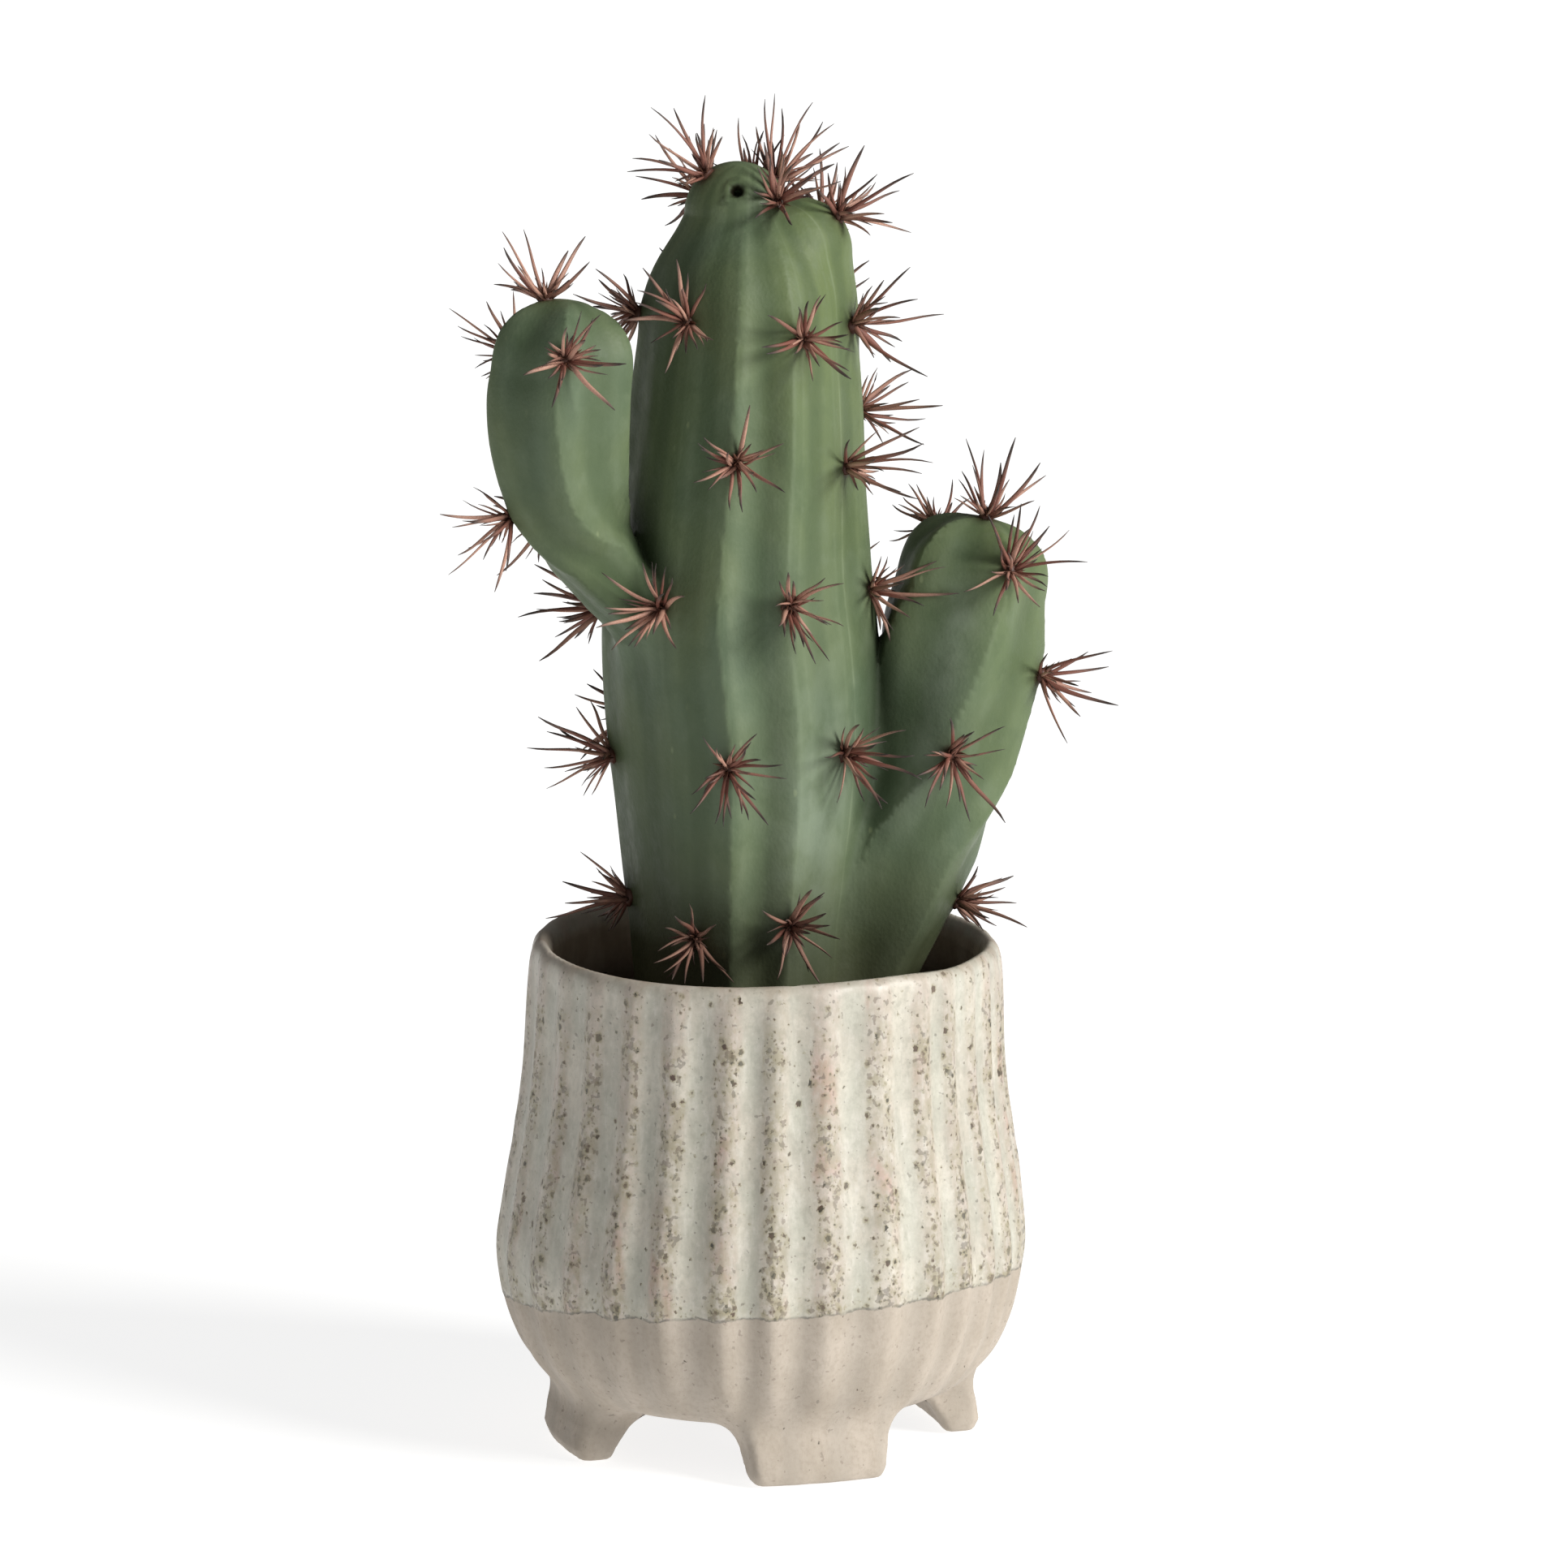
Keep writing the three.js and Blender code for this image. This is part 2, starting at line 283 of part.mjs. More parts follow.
  ['right_arm_back_low', [38, 20.7, 158.1], [0.13, 0.98, -0.13], [
    [35.5, 32.2, 161.4], [48.4, 30, 161.1], [36.9, 28.6, 147.4], [31.2, 31.1, 165.2], [31.2, 27.3, 146.2],
    [26.5, 28.3, 158.4], [49, 26.6, 166.7], [29.5, 35.4, 156.9], [52.8, 24.9, 159.9],
  ]],
];
const SPINE_RADIUS = 0.62;         // at the root
const AREOLE_RADIUS = 1.9;         // the woody pad that the spines stand on

// ---------------------------------------------------------------- small helpers
const DEG = Math.PI / 180;
const clamp = (v, a, b) => Math.min(b, Math.max(a, v));
const smooth = (v, a, b) => { const t = clamp((v - a) / (b - a), 0, 1); return t * t * (3 - 2 * t); };

function lookup(table, x, column = 1) {
  if (x <= table[0][0]) return table[0][column];
  for (let i = 1; i < table.length; i++) {
    if (x <= table[i][0]) {
      const t = (x - table[i - 1][0]) / (table[i][0] - table[i - 1][0]);
      return table[i - 1][column] * (1 - t) + table[i][column] * t;
    }
  }
  return table[table.length - 1][column];
}

// smooth curve through a table of rows, n steps between rows
function spline(rows, n) {
  const at = (i, k) => {
    if (i < 0) return 2 * rows[0][k] - rows[1][k];
    if (i >= rows.length) return 2 * rows[rows.length - 1][k] - rows[rows.length - 2][k];
    return rows[i][k];
  };
  const out = [];
  for (let i = 0; i < rows.length - 1; i++) {
    for (let j = 0; j < n; j++) {
      const t = j / n;
      out.push(rows[i].map((_, k) => {
        const p0 = at(i - 1, k), p1 = at(i, k), p2 = at(i + 1, k), p3 = at(i + 2, k);
        return 0.5 * (2 * p1 + (p2 - p0) * t + (2 * p0 - 5 * p1 + 4 * p2 - p3) * t * t + (3 * p1 - p0 - 3 * p2 + p3) * t * t * t);
      }));
    }
  }
  out.push(rows[rows.length - 1].slice());
  return out;
}

function volumeOf(position, index) {
  let v = 0;
  const a = new THREE.Vector3(), b = new THREE.Vector3(), c = new THREE.Vector3();
  for (let i = 0; i < index.length; i += 3) {
    a.fromArray(position, 3 * index[i]); b.fromArray(position, 3 * index[i + 1]); c.fromArray(position, 3 * index[i + 2]);
    v += a.dot(b.clone().cross(c)) / 6;
  }
  return v;
}

// geometry -> solid with shared corners, no empty triangles, faces outwards
function solid(geometry) {
  geometry.deleteAttribute('normal');
  geometry.deleteAttribute('uv');
  const g = mergeVertices(geometry, 1e-4);
  const position = g.attributes.position.array;
  const index = [];
  for (let i = 0; i < g.index.count; i += 3) {
    const [a, b, c] = [g.index.getX(i), g.index.getX(i + 1), g.index.getX(i + 2)];
    if (a !== b && b !== c && c !== a) index.push(a, b, c);
  }
  if (volumeOf(position, index) < 0) {
    for (let i = 0; i < index.length; i += 3) [index[i + 1], index[i + 2]] = [index[i + 2], index[i + 1]];
  }
  return new wasm.Manifold(new wasm.Mesh({
    numProp: 3, vertProperties: new Float32Array(position), triVerts: new Uint32Array(index),
  }));
}

function biggest(m) {
  const parts = m.decompose();
  parts.sort((p, q) => q.volume() - p.volume());
  return parts[0];
}

const group = new THREE.Group();
group.name = 'potted_cactus';
group.position.set(...ORIGIN_SHIFT);

function addMesh(name, m, material) {
  const s = m.getMesh();
  const g = new THREE.BufferGeometry();
  const p = new Float32Array(s.numVert * 3);
  for (let i = 0; i < s.numVert; i++) for (let k = 0; k < 3; k++) p[3 * i + k] = s.vertProperties[i * s.numProp + k];
  g.setAttribute('position', new THREE.BufferAttribute(p, 3));
  g.setIndex(Array.from(s.triVerts));
  g.computeVertexNormals();
  const mesh = new THREE.Mesh(g, material);
  mesh.name = name;
  group.add(mesh);
}

// a lathe whose ring r and side s are moved to place(r, s); profile runs from the axis to the axis
function turned(profile, sides, place) {
  const g = new THREE.LatheGeometry(profile.map(([r, z]) => new THREE.Vector2(r, z)), sides);
  const n = profile.length, p = g.attributes.position;
  for (let s = 0; s <= sides; s++) for (let r = 0; r < n; r++) p.setXYZ(s * n + r, ...place(r, s % sides));
  return g;
}

// ---------------------------------------------------------------- pot
const flutedAngles = [];
FLUTE_CRESTS.forEach((a, i) => {
  const next = i + 1 < FLUTE_CRESTS.length ? FLUTE_CRESTS[i + 1] : FLUTE_CRESTS[0] + 360;
  flutedAngles.push(a, (a + next) / 2);
});
function rimWave(az) {
  const back = ((az + 132 + 180) % 360 + 360) % 360 - 180, front = ((az - 54 + 180) % 360 + 360) % 360 - 180;
  return 0.5 * Math.cos(3 * (az - 35) * DEG) + 0.3 * Math.cos((az - 35) * DEG) + 1.7 * Math.exp(-((back / 36) ** 2)) - 0.8 * Math.exp(-((front / 13) ** 2));
}

function makePot() {
  const profile = [[0, POT_UNDERSIDE], [22, POT_UNDERSIDE], ...POT_WALL.map(([z, r]) => [r, z]), ...POT_LIP.map(([z, r]) => [r, z]),
    ...POT_INSIDE.map(([z, r]) => [r, z]), [0, POT_FLOOR]];
  const lastOuter = 2 + POT_WALL.length;
  const wall = turned(profile, flutedAngles.length, (r, s) => {
    const az = flutedAngles[s];
    let [radius, z] = profile[r];
    if (r >= 2 && r <= lastOuter && s % 2 === 1) radius -= lookup(FLUTE_DEPTH, z);
    const lean = radius > 0 ? lookup(POT_LEAN, z) : -0.2;
    z += rimWave(az) * smooth(z, 108, 119);
    return [lean + radius * Math.sin(az * DEG), -radius * Math.cos(az * DEG), z];
  });
  let pot = solid(wall);
  for (const az of FOOT_AZ) pot = pot.add(solid(makeFoot(az)));
  return pot;
}

// one slab foot, turned to its place: u runs along the slab, v across it, w upwards
function makeFoot(az) {
  const g = new THREE.BoxGeometry(2, 2, 1, 4, 2, 5);
  const p = g.attributes.position;
  const out = [Math.sin(az * DEG), -Math.cos(az * DEG)], along = [Math.cos(az * DEG), Math.sin(az * DEG)];
  const levels = [0, 2.5, 6, 10, 14, FOOT_TOP];
  for (let i = 0; i < p.count; i++) {
    let u = p.getX(i), v = p.getY(i);
    const z = levels[Math.round((p.getZ(i) + 0.5) * 5)];
    if (Math.abs(u) > 0.99 && Math.abs(v) > 0.99) { u *= 0.95; v *= 0.82; }
    const half = lookup(FOOT_HALF_WIDTH, z), outer = lookup(FOOT_OUTER, z), inner = lookup(FOOT_INNER, z);
    const r = (outer + inner) / 2 + v * (outer - inner) / 2;
    p.setXYZ(i, out[0] * r + along[0] * u * half, out[1] * r + along[1] * u * half, z);
  }
  return g;
}

// ---------------------------------------------------------------- cactus
const smin = (a, b, k) => { const h = Math.max(k - Math.abs(a - b), 0) / k; return Math.min(a, b) - h * h * k * 0.25; };

// 0 on a rib crest, 1 in the groove
function groove(az, ribs, first, sharp) {
  const u = (az - first) / (360 / ribs), f = u - Math.floor(u);
  return (1 - sharp) * (0.5 - 0.5 * Math.cos(2 * Math.PI * f)) + sharp * Math.abs(Math.sin(Math.PI * f));
}
const trunkRows = spline(TRUNK, 6);

function lobe(x, y, z, [a, b]) {
  const t = clamp((z - a[2]) / (b[2] - a[2]), 0, 1);
  return Math.hypot(x - a[0] - (b[0] - a[0]) * t, y - a[1] - (b[1] - a[1]) * t, z - a[2] - (b[2] - a[2]) * t) - a[3] - (b[3] - a[3]) * t;
}

// distance-like value of the trunk's skin: negative inside
function trunkField(x, y, z) {
  const zz = clamp(z, TRUNK[0][0], TRUNK[TRUNK.length - 1][0]);
  const cx = lookup(trunkRows, zz, 1), radius = lookup(trunkRows, zz, 2);
  const rho = Math.hypot(x - cx, y);
  let d = Math.hypot(rho, z - zz) - radius;
  d = smin(smin(d, lobe(x, y, z, LOBE_LEFT), 4), lobe(x, y, z, LOBE_RIGHT), 3);
  const az = Math.atan2(x - cx, -y) / DEG;
  const k = ((Math.floor((az - RIB_AZ) / 30) % RIBS) + RIBS) % RIBS;
  const fade = smooth(rho, 6, 24) * Math.sqrt(smooth(z, 80, 130));
  d += groove(az, RIBS, RIB_AZ, 0.35) * GROOVES[k] * fade * (1 - 0.7 * smooth(z, 250, 284));
  for (const [from, to, depth] of FLATS) {
    const u = clamp((az - from) / (to - from), 0, 1);
    d += depth * 4 * u * (1 - u) * fade * (1 - 0.6 * smooth(z, 262, 292));
  }
  return d;
}

function makeTrunk(grow) {
  const rings = []; // [origin, polar angle from straight up]
  const low = TRUNK[0][0], high = 270;
  for (const a of [180, 155, 130, 110]) rings.push([[-4, 0, low], a]);
  for (const z of [84, 96, 106, 116, 126, 136, 147, 158, 170, 182, 194, 206, 218, 230, 241, 252, 262, 270]) rings.push([[lookup(trunkRows, z, 1), 0, z], 90]);
  for (const a of [76, 63, 51, 40, 29, 19, 9, 0]) rings.push([[-1.5, 0, high], a]);
  const sides = 36;
  return solid(turned(rings.map(([, a], i) => [a === 180 || a === 0 ? 0 : 10, i]), sides, (r, s) => {
    const [o, polar] = rings[r];
    const az = RIB_AZ + (s * 360) / sides;
    const d = [Math.sin(az * DEG) * Math.sin(polar * DEG), -Math.cos(az * DEG) * Math.sin(polar * DEG), Math.cos(polar * DEG)];
    let a = 0, b = 60;
    for (let i = 0; i < 40; i++) {
      const m = (a + b) / 2;
      if (trunkField(o[0] + d[0] * m, o[1] + d[1] * m, o[2] + d[2] * m) < 0) a = m; else b = m;
    }
    const t = a + grow;
    return [o[0] + d[0] * t, o[1] + d[1] * t, o[2] + d[2] * t];
  }));
}

function makeArm(rows, twist, [power, flat], grow) {
  const line = spline(rows, 2);
  const n = line.length, sides = ARM_RIBS * 4;
  const P = line.map((r) => new THREE.Vector3(r[0], r[1], r[2]));
  const T = P.map((_, i) => P[Math.min(i + 1, n - 1)].clone().sub(P[Math.max(i - 1, 0)]).normalize());
  const rings = [];
  for (const psi of [90, 45]) rings.push([0, -Math.sin(psi * DEG), Math.cos(psi * DEG), psi === 90]);
  for (let i = 0; i < n; i++) rings.push([i, 0, 1, false]);
  for (const psi of [15, 32, 50, 68, 90]) {
    rings.push([n - 1, Math.pow(Math.sin(psi * DEG), 2 / power) / flat, Math.pow(Math.max(Math.cos(psi * DEG), 0), 2 / power), psi === 90]);
  }
  return solid(turned(rings.map((r, i) => [r[3] ? 0 : 10, i]), sides, (r, s) => {
    const [i, up, wide, pole] = rings[r];
    const front = new THREE.Vector3(0, -1, 0).addScaledVector(T[i], T[i].y).normalize();
    const right = T[i].clone().cross(front);
    const radius = line[i][3] + grow;
    const first = lookup(twist, line[i][2]);
    const az = first + (s * 360) / sides;
    const cut = ARM_GROOVE * groove(az, ARM_RIBS, first, 0.75) * smooth(wide, 0.15, 0.85) * (line[i][3] / 17);
    const rad = pole ? 0 : Math.max(radius * wide - cut, 0.5);
    return P[i].clone().addScaledVector(T[i], up * radius)
      .addScaledVector(right, Math.sin(az * DEG) * rad).addScaledVector(front, Math.cos(az * DEG) * rad).toArray();
  }));
}

function makeCactus(grow) {
  return makeTrunk(grow)
    .add(makeArm(ARM_LEFT, ARM_LEFT_TWIST, ARM_LEFT_TIP, grow))
    .add(makeArm(ARM_RIGHT, ARM_RIGHT_TWIST, ARM_RIGHT_TIP, grow));
}

function rod(from, to, radius, sides) {
  const a = new THREE.Vector3(...from), b = new THREE.Vector3(...to);
  const axis = b.clone().sub(a), g = new THREE.ConeGeometry(radius, axis.length(), sides, 1);
  g.applyQuaternion(new THREE.Quaternion().setFromUnitVectors(new THREE.Vector3(0, 1, 0), axis.clone().normalize()));
  g.translate((a.x + b.x) / 2, (a.y + b.y) / 2, (a.z + b.z) / 2);
  return g;
}

// ---------------------------------------------------------------- materials
const glaze = new THREE.MeshStandardMaterial({ color: 0xcbc2b3, roughness: 0.42, metalness: 0 });
const skin = new THREE.MeshStandardMaterial({ color: 0x5f7a54, roughness: 0.55, metalness: 0 });
const mould = new THREE.MeshStandardMaterial({ color: 0x2c241d, roughness: 0.95, metalness: 0 });
const spine = new THREE.MeshStandardMaterial({ color: 0x8a5b4c, roughness: 0.6, metalness: 0 });

// ---------------------------------------------------------------- assembly
const pot = makePot();
addMesh('pot', pot, glaze);

const around = makeCactus(GAP); // the plant with its clearance, used to trim what touches it
let plant = makeCactus(0);
{
  // the empty socket: a short tapering hole into the skin
  const a = new THREE.Vector3(...SOCKET.axis).normalize();
  const g = new THREE.CylinderGeometry(SOCKET.radius, SOCKET.radius * 0.7, SOCKET.depth + 3, 8, 1);
  g.applyQuaternion(new THREE.Quaternion().setFromUnitVectors(new THREE.Vector3(0, 1, 0), a));
  const mid = new THREE.Vector3(...SOCKET.at).addScaledVector(a, (3 - SOCKET.depth) / 2);
  g.translate(mid.x, mid.y, mid.z);
  plant = biggest(plant.subtract(solid(g)));
}
addMesh('cactus', plant, skin);

const soilSides = 32;
const soilBody = solid(turned(SOIL_PROFILE, soilSides, (r, s) => {
  const [radius, z] = SOIL_PROFILE[r], az = (s * 2 * Math.PI) / soilSides;
  const lean = radius > 0 ? lookup(POT_LEAN, z) : -0.2;
  return [lean + radius * Math.sin(az), -radius * Math.cos(az), z];
}));
const soil = biggest(soilBody.subtract(around));
addMesh('soil', soil, mould);

// every bunch: a small pad and a fan of tapering spines, kept clear of everything placed before it
const placed = [pot, soil];
CLUSTERS.forEach(([name, root, direction, tips]) => {
  const base = new THREE.Vector3(...root).addScaledVector(new THREE.Vector3(...direction).normalize(), 0.9);
  const pad = new THREE.SphereGeometry(AREOLE_RADIUS, 5, 3);
  pad.translate(base.x, base.y, base.z);
  let bunch = solid(pad);
  for (const end of tips) {
    const d = new THREE.Vector3(...end).sub(base), length = d.length();
    d.normalize();
    for (const part of [1, 0.75, 0.5]) {
      const tip = base.clone().addScaledVector(d, length * part);
      const clear = solid(rod(base.clone().addScaledVector(d, 1.2).toArray(), base.clone().addScaledVector(d, length * part + 0.6).toArray(), SPINE_RADIUS + GAP, 5));
      const start = clear.subtract(around);
      if (start.volume() < clear.volume() * 0.9 && part > 0.5) continue;
      if (placed.some((m) => clear.intersect(m).volume() > 1e-6)) continue;
      bunch = bunch.add(solid(rod(base.toArray(), tip.toArray(), SPINE_RADIUS, 3)));
      break;
    }
  }
  const finished = biggest(bunch.subtract(around));
  placed.push(finished);
  addMesh('spines_' + name, finished, spine);
});

export default group;
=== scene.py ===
# Potted columnar cactus with two arms in a fluted, half glazed ceramic pot on slab feet.
# Shapes are laid out in millimetres around the pot's own axis and moved by SHIFT into the part's frame.
# Angles called "az" are measured around a vertical axis: 0 points to -Y (the front), 90 to +X.
import math
import bpy
import numpy as np
from mathutils import Matrix, Vector


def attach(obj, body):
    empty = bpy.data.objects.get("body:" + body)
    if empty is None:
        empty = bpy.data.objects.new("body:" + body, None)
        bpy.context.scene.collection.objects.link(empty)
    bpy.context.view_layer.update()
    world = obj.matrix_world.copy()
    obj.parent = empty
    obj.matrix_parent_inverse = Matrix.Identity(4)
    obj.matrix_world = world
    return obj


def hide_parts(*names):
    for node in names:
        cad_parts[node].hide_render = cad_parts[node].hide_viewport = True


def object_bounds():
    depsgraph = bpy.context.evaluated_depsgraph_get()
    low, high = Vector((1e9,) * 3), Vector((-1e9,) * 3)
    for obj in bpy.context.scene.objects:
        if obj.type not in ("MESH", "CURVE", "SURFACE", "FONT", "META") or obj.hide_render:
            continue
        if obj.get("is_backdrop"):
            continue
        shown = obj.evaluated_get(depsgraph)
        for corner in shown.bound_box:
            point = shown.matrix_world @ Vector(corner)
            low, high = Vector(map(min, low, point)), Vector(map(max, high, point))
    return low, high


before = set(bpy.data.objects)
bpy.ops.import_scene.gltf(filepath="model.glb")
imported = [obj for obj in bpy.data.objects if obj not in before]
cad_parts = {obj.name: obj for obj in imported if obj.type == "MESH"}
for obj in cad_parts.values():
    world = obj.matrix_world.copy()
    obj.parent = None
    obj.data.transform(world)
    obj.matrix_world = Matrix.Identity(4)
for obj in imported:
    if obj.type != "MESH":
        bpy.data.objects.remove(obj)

cad_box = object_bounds()
SHIFT = np.array([-4.9, 0.0, 0.0])
MM = 0.001


# ------------------------------------------------------------------ helpers
def smooth(x, a, b):
    t = np.clip((x - a) / (b - a), 0, 1)
    return t * t * (3 - 2 * t)


def smin(a, b, k):
    h = np.maximum(k - np.abs(a - b), 0.0) / k
    return np.minimum(a, b) - h * h * k * 0.25


def smax(a, b, k):
    return -smin(-a, -b, k)


def spline(rows, n):
    P = np.array(rows, float)
    P = np.vstack([2 * P[0] - P[1], P, 2 * P[-1] - P[-2]])
    out = []
    for i in range(1, len(P) - 2):
        a, b, c, d = P[i - 1], P[i], P[i + 1], P[i + 2]
        for j in range(n):
            t = j / n
            out.append(0.5 * (2 * b + (c - a) * t + (2 * a - 5 * b + 4 * c - d) * t * t + (3 * b - a - 3 * c + d) * t ** 3))
    out.append(P[-2])
    return np.array(out)


def _hash(i, j, k):
    h = (i * 73856093) ^ (j * 19349663) ^ (k * 83492791)
    h = (h ^ (h >> 13)) & 0x7FFFFFFF
    h = (h * 1274126177) & 0x7FFFFFFF
    return (h ^ (h >> 15)) % 65536 / 65535.0


def noise(x, y, z, size=(1, 1, 1)):
    """smooth value noise, about -1 to 1"""
    q = [np.asarray(c, float) / s for c, s in zip((x, y, z), size)]
    i = [np.floor(c).astype(np.int64) for c in q]
    f = [c - k for c, k in zip(q, i)]
    f = [t * t * (3 - 2 * t) for t in f]
    out = 0
    for a in (0, 1):
        for b in (0, 1):
            for c in (0, 1):
                w = (f[0] if a else 1 - f[0]) * (f[1] if b else 1 - f[1]) * (f[2] if c else 1 - f[2])
                out = out + w * _hash(i[0] + a + 911, i[1] + b + 127, i[2] + c + 53)
    return out * 2 - 1


class Random:
    def __init__(self, seed):
        self.s = seed & 0xFFFFFFFF
        for _ in range(4):
            self()

    def __call__(self, a=0.0, b=1.0):
        self.s = (self.s * 1664525 + 1013904223) & 0xFFFFFFFF
        return a + (b - a) * self.s / 4294967296


def surface(field, xs, ys, zs, rounds=3):
    """the zero level of field on a grid: one vertex in every cell that it crosses, pulled onto it, and quads"""
    X, Y, Z = np.meshgrid(xs, ys, zs, indexing="ij")
    D = field(X.ravel(), Y.ravel(), Z.ravel()).reshape(X.shape)
    S = D < 0
    n = [a - 1 for a in S.shape]
    corner = [S[a:a + n[0], b:b + n[1], c:c + n[2]] for a in (0, 1) for b in (0, 1) for c in (0, 1)]
    some = np.logical_or.reduce(corner)
    every = np.logical_and.reduce(corner)
    mixed = some & ~every
    index = np.full(mixed.shape, -1, np.int64)
    cells = np.argwhere(mixed)
    index[mixed] = np.arange(len(cells))
    total = np.zeros((len(cells), 3)); count = np.zeros(len(cells))
    i, j, k = cells.T
    axes = [np.asarray(a, float) for a in (xs, ys, zs)]
    off = [(a, b, c) for a in (0, 1) for b in (0, 1) for c in (0, 1)]
    for p in off:
        for ax in range(3):
            if p[ax]:
                continue
            q = list(p); q[ax] = 1
            da = D[i + p[0], j + p[1], k + p[2]]; db = D[i + q[0], j + q[1], k + q[2]]
            hit = (da < 0) != (db < 0)
            t = np.where(hit, da / np.where(hit, da - db, 1), 0)
            P = np.stack([axes[0][i + p[0]], axes[1][j + p[1]], axes[2][k + p[2]]], 1)
            Q = np.stack([axes[0][i + q[0]], axes[1][j + q[1]], axes[2][k + q[2]]], 1)
            total += np.where(hit[:, None], P + (Q - P) * t[:, None], 0)
            count += hit
    V = total / count[:, None]
    faces = []
    for ax in range(3):
        sl = [slice(0, s) for s in S.shape]; sh = [slice(0, s) for s in S.shape]
        sl[ax] = slice(0, -1); sh[ax] = slice(1, None)
        A, B = S[tuple(sl)], S[tuple(sh)]
        e = np.argwhere(A != B)
        u, v = [(1, 2), (2, 0), (0, 1)][ax]
        e = e[(e[:, u] > 0) & (e[:, v] > 0) & (e[:, u] < S.shape[u] - 1) & (e[:, v] < S.shape[v] - 1)]
        def at(du, dv):
            c = e.copy(); c[:, u] -= du; c[:, v] -= dv
            return index[c[:, 0], c[:, 1], c[:, 2]]
        quad = np.stack([at(1, 1), at(0, 1), at(0, 0), at(1, 0)], 1)
        inside = A[e[:, 0], e[:, 1], e[:, 2]]
        quad[~inside] = quad[~inside][:, ::-1]
        faces.append(quad)
    F = np.concatenate(faces)
    for _ in range(rounds):
        d, g = field(*V.T), gradient(field, V)
        step = (d / np.maximum((g * g).sum(1), 0.2))[:, None] * g
        V = V - np.clip(step, -0.6, 0.6)
    return V, F


def gradient(field, V, e=0.15):
    g = np.empty_like(V)
    for a in range(3):
        p = V.copy(); q = V.copy()
        p[:, a] += e; q[:, a] -= e
        g[:, a] = (field(*p.T) - field(*q.T)) / (2 * e)
    return g


def normals_of(field, V, e=0.25):
    g = gradient(field, V, e)
    return g / np.maximum(np.linalg.norm(g, axis=1), 1e-9)[:, None]


def make_object(name, V, F, attributes=None, normals=None, smooth_shade=True, shifted=True):
    """V in millimetres"""
    m = bpy.data.meshes.new(name)
    P = (np.asarray(V, float) + (SHIFT if shifted else 0)) * MM
    m.vertices.add(len(P))
    m.vertices.foreach_set("co", P.astype(np.float32).ravel())
    sizes = np.array([len(f) for f in F]) if not isinstance(F, np.ndarray) else np.full(len(F), F.shape[1])
    flat = np.concatenate([np.asarray(f) for f in F]) if not isinstance(F, np.ndarray) else F.ravel()
    m.loops.add(len(flat))
    m.loops.foreach_set("vertex_index", flat.astype(np.int32))
    m.polygons.add(len(sizes))
    m.polygons.foreach_set("loop_start", np.concatenate([[0], np.cumsum(sizes)[:-1]]).astype(np.int32))
    m.update(calc_edges=True)
    m.validate()
    m.polygons.foreach_set("use_smooth", np.full(len(m.polygons), smooth_shade))
    for key, val in (attributes or {}).items():
        a = m.attributes.new(key, "FLOAT", "POINT")
        a.data.foreach_set("value", np.asarray(val, np.float32))
    if normals is not None:
        m.normals_split_custom_set_from_vertices(normals)
    m.update()
    o = bpy.data.objects.new(name, m)
    bpy.context.scene.collection.objects.link(o)
    return o


